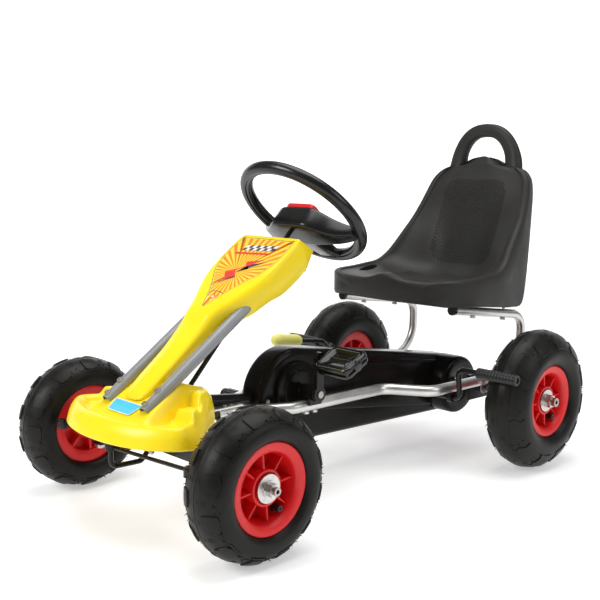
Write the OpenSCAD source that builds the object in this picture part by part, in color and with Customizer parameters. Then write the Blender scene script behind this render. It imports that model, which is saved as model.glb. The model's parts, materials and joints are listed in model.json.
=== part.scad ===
// Child's pedal go kart on pneumatic wheels.
// X runs across the kart (+X is the driver's left), -Y is forward and Z is up.
// The origin is on the ground, under the middle of the whole kart.

/* [Chassis] */
// Distance between the front and rear axles
wheelbase = 683; // [660:1:710]
// Distance between the middles of the front tyres
front_track = 448; // [440:1:470]
// Distance between the middles of the rear tyres
rear_track = 484; // [476:1:510]
// Outside diameter of the silver side rails
rail_d = 20; // [18:0.5:21]
// Wall of the side rails
rail_wall = 1.4; // [1:0.1:1.4]
// Height of the side rails' centre lines above the ground
rail_z = 150; // [148:1:153]
// Outside diameter of the black main beam
beam_d = 19; // [16:0.5:21]
// Wall of the main beam
beam_wall = 2; // [1.5:0.1:3]

/* [Wheels] */
// Outside diameter of the front tyres
front_tyre_d = 220; // [212:1:226]
// Width of the front tyres
front_tyre_w = 80; // [74:1:84]
// Outside diameter of the rear tyres
rear_tyre_d = 260; // [252:1:268]
// Width of the rear tyres
rear_tyre_w = 86; // [80:1:90]
// Diameter of the rims' bead seats
bead_d = 101; // [98:0.5:104]
// Diameter of the rims' flanges
flange_d = 132; // [126:1:136]
// Width of the rims across the flanges
rim_w = 54; // [50:1:58]
// Number of ribs in each rim
rib_count = 8; // [6:1:10]
// Thickness of the tyres' walls
tyre_wall = 5; // [4:0.5:7]
// Diameter of the front stub axles
stub_d = 12; // [10:0.5:13]
// Diameter of the rear axle
rear_axle_d = 16; // [14:0.5:17]

/* [Steering] */
// Lean of the steering column back from upright, in degrees
column_lean = 42; // [41:0.5:43]
// Height of the column's axis above the front axle where they cross
column_rise = 25; // [24:0.5:26]
// Distance up the column from the front axle to the steering wheel
column_len = 452; // [445:1:460]
// Diameter of the steering shaft
shaft_d = 8; // [7:0.5:9]
// Outside diameter of the steering wheel
wheel_d = 249; // [230:1:260]
// Thickness of the steering wheel's rim
wheel_rim_d = 23; // [18:0.5:26]
// Distance of the crank pin ahead of the front axle
pin_reach = 88; // [84:0.5:90]
// Distance from one kingpin to the other
kingpin_track = 332; // [328:1:334]
// Length of the knuckles' steering arms
steering_arm = 70; // [68:1:72]
// Diameter of the tie rods
tie_rod_d = 6; // [5:0.5:7]

/* [Drive] */
// Distance of the crank axle behind the front axle
crank_back = 267; // [262:1:272]
// Height of the crank axle
crank_z = 171; // [170:1:174]
// Diameter of the crank axle
crank_axle_d = 12; // [10:0.5:12.5]
// Length of the crank arms
crank_arm = 62; // [58:1:66]
// Teeth on the chainring
chainring_teeth = 28; // [24:1:30]
// Teeth on the rear sprocket
sprocket_teeth = 18; // [16:1:20]
// Pitch of the chain
chain_pitch = 12.7; // [12.7:0.1:12.7]
// Width of the pedals
pedal_w = 70; // [60:1:78]
// Length of the pedals
pedal_l = 84; // [70:1:90]
// Overall width of the chain cover
cover_w = 54; // [48:1:60]
// Wall of the chain cover
cover_wall = 3; // [2:0.5:4]

/* [Seat] */
// Width across the middles of the seat tubes
seat_tube_track = 274; // [272:1:276]
// Outside diameter of the seat tubes
seat_tube_d = 17; // [15:0.5:17]
// Width of the seat pan at its front
pan_w = 316; // [300:1:330]
// Height of the shoulders of the seat back
shoulder_z = 512; // [495:1:525]
// Height of the top of the handle loop, the kart's highest point
handle_z = 649; // [636:1:665]
// Thickness of the handle loop
handle_d = 26; // [22:1:28]

/* [Brake] */
// Diameter of the brake's bent rod
brake_rod_d = 10; // [8:0.5:11]
// Diameter of the rubber brake pads
pad_d = 20; // [17:0.5:20.5]
// Diameter of the brake lever's grip
grip_d = 26; // [22:1:30]

/* [Hidden] */
$fn = 64;
fit = 0.05;          // running clearance on a radius
gap = 0.3;           // clearance between flat faces that move past each other
seat_gap = 0.1;      // clearance between curved faces of one body
clear = 1.5;         // free room round something that moves in a hole
dip = 0.02;          // how far straight sides lie inside the arcs that they join
mid_y = -24;         // middle of the wheelbase; the seat reaches further out than the nose
front_y = mid_y - wheelbase / 2;
rear_y = mid_y + wheelbase / 2;
front_z = front_tyre_d / 2;
rear_z = rear_tyre_d / 2;
crank_y = front_y + crank_back;
column_lift = 75;    // length of the head tube above the front axle
head_tube_d = 20;
head_drop = 32;      // length of the head tube below the front axle
bush_d = 14;         // outside of the steering column's bushes
fork_gap = 42;       // between the kingpin plates of each fork
fork_plate = 4;
fork_web_x = 146;    // inner face of each fork's upright web
beam_box = [26, 22]; // front axle's box section, along Y and Z
kingpin_d = 10;
kingpin_x = kingpin_track / 2;
sleeve_r = 9;        // radius of the knuckles' sleeves and of their hub spacers
arm_t = 5;
tie_z = front_z + 20;    // height of the tie rods' outer eyes
eye_t = tie_rod_d + 1;
eye_d = 17;          // outside of the tie rods' outer eyes
tie_pin_d = 8;
crank_pin_d = 6;     // journal that the tie rods hook on
loose_r = 6;         // hole radius of the inner eyes, loose on the crank pin
pin_room = 7.5;      // room under the crank pin's head, which tilts as the column turns
loose_eye_d = 18;
u_floor = 99;        // height of the bottom of the shaft's bent crank
end_hole = 10;       // depth of the holes in the axles' ends
hub_w = 46;          // length of the wheels' hubs between their bush flanges
bush_flange = 2;
front_bush_d = 22;
hub_d = 52;
big_washer = [41, 2];    // diameter and thickness
small_washer = [24, 2.4];
nut = [17, 9];           // across flats and thickness
rail_x_front = 17;   // half the gap between the rails' middles at their front ends
rail_x_mid = 63;
rail_x_rear = seat_tube_track / 2;
rail_front_y = front_y + 101;
flare_y = rear_y - 226;  // where the rails start to flare outward
rail_end_y = rear_y + 39;
bracket_x = rail_x_rear - rail_d / 2 - seat_gap; // outer faces of the rear bracket plates
bracket_t = 5;
bearing_len = 24;
axle_bush_wall = 3;
rear_housing_d = 32;
crank_bush_wall = 1.6;
crank_housing_d = 26;
crank_housing_x = [rail_x_mid - 16, rail_x_mid + 13];
clamp_half = 14;     // half length of the crank brackets' saddles along the rails
saddle_bolts = [-10, 10];    // their bolts, before and behind the crank axle
saddle_bolt_top = crank_z - 6;
plate_bolts = [-38, 22];     // the rear brackets' bolts, before and behind the rear axle
cover_front = [crank_y + 2, crank_z - 13, 83]; // middle (y, z) and radius
cover_rear = [rear_y, rear_z - 6, 58];
boss_step = [49, 9];     // radius and height of the outer step round the crank axle
boss_top = [34, 3];
collar_r = 14;
drum_r = 57;
drum_x = 70;         // outer face of the drum round the rear axle
drum_flat_z = rear_z - 62;
bolt_d = 6;
bolt_head = [10, 4]; // across flats and thickness
brake_y = rear_y - 119;
brake_z = rail_z - 19;
brake_arm_x = 157;
pad_z = rear_z + 58;
// the pads stand 0.9 mm clear of the tyres' treads
pad_y = rear_y - sqrt(pow(rear_tyre_d / 2 + pad_d / 2 + 0.9, 2) - pow(pad_z - rear_z, 2));

// ---------- helpers ----------
function unit(v) = v / norm(v);
// the points of a polyline with both its ends drawn out by e
function drawn_out(p, e) = let (n = len(p))
    [for (i = [0 : n - 1]) i == 0 ? p[0] - e * unit(p[1] - p[0])
                         : i == n - 1 ? p[i] + e * unit(p[i] - p[i - 1]) : p[i]];

// a piece on the left and its mirror image on the right
module both() {
    children();
    mirror([1, 0, 0]) children();
}

// turns a child built along +Z so that it runs from a towards b
module aim(a, b) {
    v = b - a;
    translate(a) rotate([0, acos(v[2] / norm(v)), atan2(v[1], v[0])]) children();
}

module bar(a, b, d) {
    aim(a, b) cylinder(h = norm(b - a), d = d);
}

// a child built along +Z, laid along +X
module along_x(x, y, z) {
    translate([x, y, z]) rotate([0, 90, 0]) children();
}

// the arc of a bent bar at corner p, from direction u to direction v
module bend(p, u, v, r, t, d) {
    turn = acos(u * v);
    x = -unit(v - u * cos(turn));
    c = p - u * t - x * r;
    z = cross(x, u);
    multmatrix([[x[0], u[0], z[0], c[0]],
                [x[1], u[1], z[1], c[1]],
                [x[2], u[2], z[2], c[2]],
                [0, 0, 0, 1]])
        rotate_extrude(angle = turn) translate([r, 0]) circle(d = d);
}

// a round bar of diameter d through the points p, bent to radius r[i] at point i;
// the bends are a hair thicker, and the straights run a little way into them
bend_swell = 0.1;
bend_lap = 1;
module bent_bar(p, r, d) {
    n = len(p);
    u = [for (i = [0 : n - 2]) unit(p[i + 1] - p[i])];
    t = [for (i = [0 : n - 1]) i == 0 || i == n - 1 ? 0 : r[i] * tan(acos(u[i - 1] * u[i]) / 2)];
    lap = [for (i = [0 : n - 1]) i == 0 || i == n - 1 ? 0 : bend_lap];
    for (i = [0 : n - 2])
        bar(p[i] + u[i] * (t[i] - lap[i]), p[i + 1] - u[i] * (t[i + 1] - lap[i + 1]), d);
    for (i = [1 : n - 2]) bend(p[i], u[i - 1], u[i], r[i], t[i], d + bend_swell);
}

module bent_tube(p, r, d, wall) {
    difference() {
        bent_bar(p, r, d);
        bent_bar(drawn_out(p, 1), r, d - 2 * wall);
    }
}

// a hexagon head or nut along +Z
module hex(across, h) {
    cylinder(h = h, d = across / cos(30), $fn = 6);
}

// the steering column's own frame: +Z runs up the column from the front axle
module on_column(s = 0) {
    translate([0, front_y, front_z + column_rise]) rotate([-column_lean, 0, 0])
        translate([0, 0, s]) children();
}
function column_dir() = [0, sin(column_lean), cos(column_lean)];
function column_at(s) = [0, front_y, front_z + column_rise] + s * column_dir();

// ---------- front axle and steering ----------
module kingpin_plate(z, h) {
    translate([fork_web_x, front_y - beam_box[0] / 2, z])
        cube([kingpin_x - fork_web_x, beam_box[0], h]);
    translate([kingpin_x, front_y, z]) cylinder(h = h, d = beam_box[0]);
}

// box-section cross beam with the head tube through its middle and a fork at each end
module front_axle() {
    top = front_z + fork_gap / 2 + fork_plate;
    bottom = front_z - fork_gap / 2 - fork_plate;
    color("#1b1b1d") difference() {
        union() {
            translate([-fork_web_x, front_y - beam_box[0] / 2, top - beam_box[1]])
                cube([2 * fork_web_x, beam_box[0], beam_box[1]]);
            on_column(-head_drop) cylinder(h = head_drop + column_lift, d = head_tube_d);
            both() {
                translate([fork_web_x, front_y - beam_box[0] / 2, bottom])
                    cube([fork_plate, beam_box[0], top - bottom]);
                kingpin_plate(top - fork_plate, fork_plate);
                kingpin_plate(bottom, fork_plate);
            }
        }
        on_column(-head_drop - 30)
            cylinder(h = head_drop + column_lift + 60, d = bush_d + 2 * seat_gap);
        both() translate([kingpin_x, front_y, bottom - 1])
            cylinder(h = top - bottom + 2, d = kingpin_d + 2 * seat_gap);
    }
}

// a bolt and its nut in each fork
module kingpins() {
    top = front_z + fork_gap / 2 + fork_plate;
    bottom = front_z - fork_gap / 2 - fork_plate;
    color("silver") both() translate([kingpin_x, front_y, 0]) {
        translate([0, 0, bottom - 10]) cylinder(h = top - bottom + 10, d = kingpin_d);
        translate([0, 0, top]) hex(16, 6);
        translate([0, 0, bottom - 8]) hex(16, 8);
    }
}

module flanged_bush(bore_d, out_d, len, flange_d, flange_t) {
    difference() {
        union() {
            cylinder(h = len, d = out_d);
            cylinder(h = flange_t, d = flange_d);
        }
        translate([0, 0, -1]) cylinder(h = len + 2, d = bore_d);
    }
}

head_plate_s = 345;  // distance up the column to the head plate
head_plate_t = 4;
bush_len = 18;       // length of the head tube's bushes inside it
// nylon bushes: two in the head tube and one in the head plate
module steering_bushes() {
    bore = shaft_d + 2 * fit;
    color("#e8e4d8") {
        on_column(-head_drop - bush_flange)
            flanged_bush(bore, bush_d, bush_len + bush_flange, head_tube_d, bush_flange);
        on_column(column_lift + bush_flange) mirror([0, 0, 1])
            flanged_bush(bore, bush_d, bush_len + bush_flange, head_tube_d, bush_flange);
        on_column(head_plate_s + head_plate_t + bush_flange) mirror([0, 0, 1])
            flanged_bush(bore, bush_d, head_plate_t + 4, head_tube_d, bush_flange);
    }
}

crank_corner = -50;  // place along the column where the rod bends forward
shaft_top = column_len - 14;
u_bend = 12;         // radius of the crank's bends
// round rod: straight up the column, with a U-shaped crank bent into its lower end
module steering_shaft() {
    knee = column_at(crank_corner);
    foot = [0, front_y - pin_reach, u_floor];
    shoulder = [0, front_y - pin_reach, tie_z - eye_t / 2 - gap];
    head_z = 2 * eye_t + 2 * gap + pin_room;
    color("#1b1b1d") {
        bent_bar([column_at(shaft_top), knee, foot, shoulder], [0, u_bend, u_bend, 0], shaft_d);
        translate(shoulder - [0, 0, 1]) cylinder(h = head_z + 2, d = crank_pin_d);
        translate(shoulder + [0, 0, head_z]) cylinder(h = 2, d = crank_pin_d + 7);
    }
}

spoke_t = 9;
hub_h = 40;
hub_drop = 46;       // from the wheel's plane down to the bottom of its hub
// plain ring with a hub and three spokes
module steering_wheel() {
    ring_r = (wheel_d - wheel_rim_d) / 2;
    hub_s = column_len - hub_drop;
    color("#121214") difference() {
        union() {
            on_column(column_len) rotate_extrude() translate([ring_r, 0]) circle(d = wheel_rim_d);
            on_column(hub_s) cylinder(h = hub_h, r = 30);
            on_column(column_len - spoke_t) intersection() {
                union() {
                    translate([-ring_r, -14, 0]) cube([2 * ring_r, 26, spoke_t]);
                    translate([-16, 0, 0]) cube([32, ring_r, spoke_t]);
                }
                cylinder(h = spoke_t, r = ring_r);
            }
        }
        on_column(hub_s - 1)
            cylinder(h = shaft_top - hub_s + 1 + seat_gap, d = shaft_d + 2 * seat_gap);
    }
}

cap_size = [56, 26, 7];
// oval red cap on the wheel's hub
module steering_wheel_cap() {
    color("#d8202a") on_column(column_len) translate([0, -2, 0]) {
        translate([-(cap_size[0] - cap_size[1]) / 2, -cap_size[1] / 2, 0])
            cube([cap_size[0] - cap_size[1], cap_size[1], cap_size[2]]);
        both() translate([(cap_size[0] - cap_size[1]) / 2, 0, 0])
            cylinder(h = cap_size[2], d = cap_size[1]);
    }
}

// kingpin sleeve, stub axle and steering arm, for the left side
module knuckle() {
    sleeve_h = fork_gap - 2 * gap;
    arm_end = [kingpin_x, front_y - steering_arm];
    arm_z = tie_z - eye_t / 2 - gap - arm_t;
    arm_w = 14;
    stub_out = front_track / 2 + hub_w / 2 + bush_flange + 20;
    spacer_out = front_track / 2 - hub_w / 2 - bush_flange - gap;
    color("#1b1b1d") difference() {
        union() {
            translate([kingpin_x, front_y, front_z - sleeve_h / 2]) cylinder(h = sleeve_h, r = sleeve_r);
            along_x(kingpin_x, front_y, front_z) cylinder(h = spacer_out - kingpin_x, r = sleeve_r);
            along_x(kingpin_x, front_y, front_z) cylinder(h = stub_out - kingpin_x, d = stub_d);
            translate([kingpin_x - arm_w / 2, front_y - steering_arm, arm_z])
                cube([arm_w, steering_arm, arm_t]);
            translate([arm_end[0], arm_end[1], arm_z]) cylinder(h = arm_t, d = eye_d);
            translate([arm_end[0], arm_end[1], arm_z])
                cylinder(h = arm_t + eye_t + 2 * gap + 2, d = tie_pin_d);
            translate([arm_end[0], arm_end[1], arm_z + arm_t + eye_t + 2 * gap])
                cylinder(h = 2, d = tie_pin_d + 5);
        }
        translate([kingpin_x, front_y, front_z - fork_gap])
            cylinder(h = 2 * fork_gap, d = kingpin_d + 2 * fit);
        along_x(stub_out - end_hole, front_y, front_z) cylinder(h = end_hole + 1, d = stub_d / 2);
    }
}

// tie rod of the left side; its inner eye lies at height z on the crank pin
module tie_rod(z) {
    outer = [kingpin_x, front_y - steering_arm, tie_z];
    inner = [0, front_y - pin_reach, z];
    u = unit(inner - outer);
    color("#1b1b1d") difference() {
        union() {
            bar(outer + u * (eye_d / 2 - 1.5), inner - u * (loose_eye_d / 2 - 1.2), tie_rod_d);
            translate(outer - [0, 0, eye_t / 2]) cylinder(h = eye_t, d = eye_d);
            translate(inner - [0, 0, eye_t / 2]) cylinder(h = eye_t, d = loose_eye_d);
        }
        translate(outer - [0, 0, eye_t]) cylinder(h = 2 * eye_t, d = tie_pin_d + 2 * fit);
        translate(inner - [0, 0, eye_t]) cylinder(h = 2 * eye_t, r = loose_r);
    }
}
module tie_rod_left() {
    tie_rod(tie_z);
}
module tie_rod_right() {
    mirror([1, 0, 0]) tie_rod(tie_z + eye_t + gap);
}
module knuckle_left() {
    knuckle();
}
module knuckle_right() {
    mirror([1, 0, 0]) knuckle();
}

// ---------- wheels ----------
// Each wheel is built round its own middle, with +Z out of the kart.

// a superellipse's outline, for the tyres' rounded shoulders
function bulge(w, h, n, k = 0.62) = [for (i = [0 : n - 1]) let (a = 360 * i / n)
    [h * sign(sin(a)) * pow(abs(sin(a)), k), w * sign(cos(a)) * pow(abs(cos(a)), k)]];

module tyre(d, w) {
    mid = (d / 2 + bead_d / 2) / 2;
    half = (d / 2 - bead_d / 2) / 2;
    bead_w = rim_w / 2 - 4 - seat_gap;
    color("#1d1d1f") rotate_extrude() difference() {
        intersection() {
            translate([mid, 0]) polygon(bulge(w / 2, half, 48));
            union() {
                translate([flange_d / 2 + seat_gap, -w]) square([d, 2 * w]);
                translate([bead_d / 2 + seat_gap, -bead_w]) square([d, 2 * bead_w]);
            }
        }
        intersection() {
            translate([mid, 0]) polygon(bulge(w / 2 - tyre_wall, half - tyre_wall, 48));
            translate([flange_d / 2 + seat_gap + tyre_wall, -w]) square([d, 2 * w]);
        }
        translate([0, -bead_w + tyre_wall]) square([mid, 2 * (bead_w - tyre_wall)]);
    }
}

valve_d = 9;
valve_r = 42;        // distance of the valve stems from the wheels' axes
valve_turn = 55;     // below the rearward direction, in degrees
valve_x = 25;        // how far the stems stand out from the wheels' middles
valve_low = 8;       // where the stems enter the rims
valve_bore = 3;
tube_wall = 2.5;
rib_turn = 6;
rib_t = 3.4;

module rim(bore_d, phase) {
    barrel_r = bead_d / 2 - 4;
    color("#d8202a") difference() {
        union() {
            rotate_extrude() polygon([[barrel_r, -rim_w / 2], [flange_d / 2, -rim_w / 2],
                [flange_d / 2, -rim_w / 2 + 4], [bead_d / 2, -rim_w / 2 + 4],
                [bead_d / 2, rim_w / 2 - 4], [flange_d / 2, rim_w / 2 - 4],
                [flange_d / 2, rim_w / 2], [barrel_r + 4, rim_w / 2], [barrel_r, rim_w / 2 - 6]]);
            translate([0, 0, -hub_w / 2]) cylinder(h = hub_w, d = hub_d);
            for (i = [0 : rib_count - 1]) rotate([0, 0, phase + 360 * i / rib_count])
                translate([hub_d / 2 - 2, -rib_t / 2, -rim_w / 2 + 6])
                    cube([barrel_r - hub_d / 2 + 4, rib_t, rim_w - 13]);
            difference() {
                translate([0, 0, -3]) cylinder(h = 5, r = barrel_r + 1);
                translate([0, 0, -4]) cylinder(h = 7, d = hub_d - 2);
            }
        }
        translate([0, 0, -hub_w]) cylinder(h = 2 * hub_w, d = bore_d);
        rotate([0, 0, -valve_turn]) translate([barrel_r - 6, 0, valve_low]) rotate([0, 90, 0])
            cylinder(h = 20, d = valve_d + 1);
    }
}

// ring of rubber with its elbowed valve stem, hollow right out through the valve
module inner_tube(d) {
    half = 0.37 * (d / 2 - tyre_wall - bead_d / 2);
    mid = d / 2 - tyre_wall - gap - half;
    color("#2b2b2d") difference() {
        union() {
            rotate_extrude() translate([mid, 0]) circle(r = half);
            rotate([0, 0, -valve_turn]) {
                translate([valve_r, 0, valve_low]) rotate([0, 90, 0])
                    cylinder(h = mid - half + 3 - valve_r, d = valve_d);
                translate([valve_r, 0, valve_low]) sphere(d = valve_d);
                translate([valve_r, 0, valve_low]) cylinder(h = valve_x - valve_low, d = valve_d);
            }
        }
        rotate_extrude() translate([mid, 0]) circle(r = half - tube_wall);
        rotate([0, 0, -valve_turn]) {
            translate([valve_r, 0, valve_low]) rotate([0, 90, 0]) cylinder(h = mid - valve_r, d = valve_bore);
            translate([valve_r, 0, valve_low]) sphere(d = valve_bore);
            translate([valve_r, 0, valve_low]) cylinder(h = valve_x, d = valve_bore);
        }
    }
}

// stands a wheel's piece on its axle; s is 1 on the left and -1 on the right
module at_wheel(s, track, y, z) {
    if (s > 0)
        translate([track / 2, y, z]) rotate([90, 0, 90]) children();
    else
        mirror([1, 0, 0]) translate([track / 2, y, z]) rotate([90, 0, 90]) children();
}
module at_front(s) {
    at_wheel(s, front_track, front_y, front_z) children();
}
module at_rear(s) {
    at_wheel(s, rear_track, rear_y, rear_z) children();
}

module front_bushes() {
    for (m = [0, 1]) color("#e8e4d8") mirror([0, 0, m]) translate([0, 0, hub_w / 2 + bush_flange])
        mirror([0, 0, 1]) flanged_bush(stub_d + 2 * fit, front_bush_d - 2 * seat_gap,
                                       bush_flange + 12, hub_d - 16, bush_flange);
}

// big washer, small washer and nut on an axle's end
module hub_nut(axle_d) {
    color("#c9c9cc") difference() {
        union() {
            cylinder(h = big_washer[1], d = big_washer[0]);
            translate([0, 0, big_washer[1]]) cylinder(h = small_washer[1], d = small_washer[0]);
            translate([0, 0, big_washer[1] + small_washer[1]]) hex(nut[0] + axle_d - 12, nut[1]);
        }
        translate([0, 0, -1]) cylinder(h = 40, d = axle_d + 2 * seat_gap);
    }
}
module front_hub_nuts_left() {
    at_front(1) translate([0, 0, hub_w / 2 + bush_flange + gap]) hub_nut(stub_d);
}
module front_hub_nuts_right() {
    at_front(-1) translate([0, 0, hub_w / 2 + bush_flange + gap]) hub_nut(stub_d);
}
module front_tyre_left() {
    at_front(1) tyre(front_tyre_d, front_tyre_w);
}
module front_tyre_right() {
    at_front(-1) tyre(front_tyre_d, front_tyre_w);
}
module front_rim_left() {
    at_front(1) rim(front_bush_d, rib_turn);
}
module front_rim_right() {
    at_front(-1) rim(front_bush_d, rib_turn);
}
module front_inner_tube_left() {
    at_front(1) inner_tube(front_tyre_d);
}
module front_inner_tube_right() {
    at_front(-1) inner_tube(front_tyre_d);
}
module front_bushes_left() {
    at_front(1) front_bushes();
}
module front_bushes_right() {
    at_front(-1) front_bushes();
}
module rear_tyres() {
    for (s = [1, -1]) at_rear(s) tyre(rear_tyre_d, rear_tyre_w);
}
module rear_rims() {
    for (s = [1, -1]) at_rear(s) rim(rear_axle_d + 2 * seat_gap, rib_turn);
}
module rear_inner_tubes() {
    for (s = [1, -1]) at_rear(s) inner_tube(rear_tyre_d);
}
module rear_hub_nuts() {
    for (s = [1, -1]) at_rear(s) translate([0, 0, hub_w / 2]) hub_nut(rear_axle_d);
}

// ---------- drive ----------
// a toothed disc about the X axis: trapezoid teeth on a plate of thickness t
module gear(teeth, t, bore_d) {
    pitch_r = chain_pitch / 2 / sin(180 / teeth);
    root_r = pitch_r - 4;
    color("#8d8f94") difference() {
        linear_extrude(t) union() {
            circle(r = root_r);
            for (i = [0 : teeth - 1]) rotate(360 * i / teeth)
                polygon([[root_r - 1, -2.9], [pitch_r + 3, -0.9], [pitch_r + 3, 0.9], [root_r - 1, 2.9]]);
        }
        translate([0, 0, -1]) cylinder(h = t + 2, d = bore_d);
        if (pitch_r > 50)
            for (i = [0 : 4]) rotate(72 * i) translate([pitch_r * 0.56, 0, -1])
                cylinder(h = t + 2, r = pitch_r * 0.2);
    }
}
gear_t = 3;
module chainring() {
    along_x(-gear_t / 2, crank_y, crank_z) gear(chainring_teeth, gear_t, crank_axle_d + 2 * seat_gap);
}
module rear_sprocket() {
    along_x(-gear_t / 2, rear_y, rear_z) gear(sprocket_teeth, gear_t, rear_axle_d + 2 * seat_gap);
}

arm_x = [crank_housing_x[1] + 2, crank_housing_x[1] + 10];   // the crank arms' faces
module crank_axle() {
    color("#b9bbc0") along_x(-arm_x[1] - 2, crank_y, crank_z)
        cylinder(h = 2 * arm_x[1] + 4, d = crank_axle_d);
}

spindle_d = 10;
// arm with its pedal spindle; the left one stands up and the right one hangs down
module crank_arms() {
    t = arm_x[1] - arm_x[0];
    for (s = [1, -1]) color("#202022") difference() {
        union() {
            along_x(s > 0 ? arm_x[0] : -arm_x[1], crank_y, crank_z) cylinder(h = t, d = 26);
            along_x(s > 0 ? arm_x[0] : -arm_x[1], crank_y, crank_z + s * crank_arm)
                cylinder(h = t, d = 20);
            translate([s > 0 ? arm_x[0] : -arm_x[1], crank_y - 8, crank_z + (s > 0 ? 0 : -crank_arm)])
                cube([t, 16, crank_arm]);
            along_x(s > 0 ? arm_x[0] : -arm_x[1] - pedal_w - 8, crank_y, crank_z + s * crank_arm)
                cylinder(h = t + pedal_w + 8, d = spindle_d);
            along_x(s > 0 ? arm_x[1] + pedal_w + 5 : -arm_x[1] - pedal_w - 8,
                    crank_y, crank_z + s * crank_arm) cylinder(h = 3, d = spindle_d + 6);
        }
        along_x(s > 0 ? arm_x[0] - 1 : -arm_x[1] - 1, crank_y, crank_z)
            cylinder(h = t + 2, d = crank_axle_d + 2 * seat_gap);
    }
}

// a frame pedal about its spindle, with tread bars and a bored barrel
module pedal(s, tilt) {
    body = pedal_w;
    color("#18181a")
        translate([s > 0 ? arm_x[1] + 2 : -arm_x[1] - 2 - body, crank_y, crank_z + s * crank_arm])
        rotate([tilt, 0, 0]) difference() {
            union() {
                for (z = [-14, 7]) translate([0, -pedal_l / 2, z]) difference() {
                    cube([body, pedal_l, 7]);
                    translate([9, 9, -1]) cube([body - 18, pedal_l - 18, 9]);
                }
                for (y = [-pedal_l / 2, pedal_l / 2 - 7]) translate([0, y, -8]) cube([body, 7, 16]);
                translate([0, -11, -14]) cube([body, 22, 28]);
            }
            translate([-1, 0, 0]) rotate([0, 90, 0]) cylinder(h = body + 2, d = spindle_d + 2 * fit);
        }
}
module pedal_left() {
    pedal(1, 28);
}
module pedal_right() {
    pedal(-1, 80);
}

// saddle on the rail with a bored housing above it
module crank_bearing_brackets() {
    len = crank_housing_x[1] - crank_housing_x[0];
    foot_w = 26;
    color("#1b1b1d") both() difference() {
        union() {
            along_x(crank_housing_x[0], crank_y, crank_z) cylinder(h = len, d = crank_housing_d);
            translate([rail_x_mid - foot_w / 2, crank_y - clamp_half, rail_z + 2])
                cube([foot_w, 2 * clamp_half, crank_z - rail_z - 2]);
        }
        along_x(crank_housing_x[0] - 1, crank_y, crank_z)
            cylinder(h = len + 2, d = crank_axle_d + 2 * crank_bush_wall + 4 * seat_gap);
        translate([rail_x_mid, crank_y - 60, rail_z]) rotate([-90, 0, 0])
            cylinder(h = 120, d = rail_d + 2 * seat_gap);
        for (y = saddle_bolts) translate([rail_x_mid, crank_y + y, 0])
            cylinder(h = saddle_bolt_top + seat_gap, d = bolt_d + 2 * seat_gap);
    }
}

module rear_bearing_brackets() {
    color("#1b1b1d") both() difference() {
        union() {
            translate([bracket_x - bracket_t, rear_y - 46, rear_z - 18])
                cube([bracket_t, 76, rail_z + 11 - rear_z + 18]);
            along_x(bracket_x - bearing_len, rear_y, rear_z) cylinder(h = bearing_len, d = rear_housing_d);
        }
        along_x(bracket_x - bearing_len - 1, rear_y, rear_z)
            cylinder(h = bearing_len + 2, d = rear_axle_d + 2 * axle_bush_wall + 4 * seat_gap);
        for (y = plate_bolts) along_x(bracket_x - 20, rear_y + y, rail_z)
            cylinder(h = 40, d = bolt_d + 2 * seat_gap);
    }
}

module plain_bush(bore_d, out_d, len) {
    difference() {
        cylinder(h = len, d = out_d);
        translate([0, 0, -1]) cylinder(h = len + 2, d = bore_d);
    }
}
// four plain bushes: two for the crank axle and two for the rear axle
module bearing_bushes() {
    color("#e8e4d8") both() {
        along_x(crank_housing_x[0], crank_y, crank_z)
            plain_bush(crank_axle_d + 2 * fit, crank_axle_d + 2 * crank_bush_wall,
                       crank_housing_x[1] - crank_housing_x[0]);
        along_x(bracket_x - bearing_len, rear_y, rear_z)
            plain_bush(rear_axle_d + 2 * fit, rear_axle_d + 2 * axle_bush_wall, bearing_len);
    }
}

module rear_axle() {
    half = rear_track / 2 + hub_w / 2 + 22;
    color("#a9abb0") difference() {
        along_x(-half, rear_y, rear_z) cylinder(h = 2 * half, d = rear_axle_d);
        both() along_x(half - end_hole, rear_y, rear_z) cylinder(h = end_hole + 1, d = rear_axle_d / 2);
    }
}

// bolts through the rails: under the crank brackets, beside the rear brackets,
// at the rails' flares and through the front clamp plate
module frame_bolts() {
    under = rail_z - rail_d / 2 - seat_gap;
    color("#c9c9cc") both() {
        for (y = saddle_bolts) translate([rail_x_mid, crank_y + y, 0]) {
            translate([0, 0, under - 4]) cylinder(h = saddle_bolt_top + 4 - under, d = bolt_d);
            translate([0, 0, under - bolt_head[1]]) hex(bolt_head[0], bolt_head[1]);
        }
        for (y = plate_bolts) {
            along_x(bracket_x - bracket_t - 4, rear_y + y, rail_z)
                cylinder(h = bracket_t + rail_d + 8, d = bolt_d);
            along_x(bracket_x - bracket_t - bolt_head[1], rear_y + y, rail_z)
                hex(bolt_head[0], bolt_head[1]);
            along_x(rail_x_rear + rail_d / 2 + seat_gap, rear_y + y, rail_z)
                hex(bolt_head[0], bolt_head[1]);
        }
        translate([rail_x_rear, flare_bolt_y, 0]) {
            translate([0, 0, under - 4]) cylinder(h = rail_d + 8, d = bolt_d);
            translate([0, 0, under - bolt_head[1]]) hex(bolt_head[0], bolt_head[1]);
            translate([0, 0, rail_z + rail_d / 2 + seat_gap]) hex(bolt_head[0], bolt_head[1]);
        }
        translate([rail_x_front, plate_bolt_y, 0]) {
            translate([0, 0, under - 4]) cylinder(h = rail_d + plate_t + 6, d = bolt_d);
            translate([0, 0, under - bolt_head[1]]) hex(bolt_head[0], bolt_head[1]);
        }
    }
}
flare_bolt_y = rear_y - 101;

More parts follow.
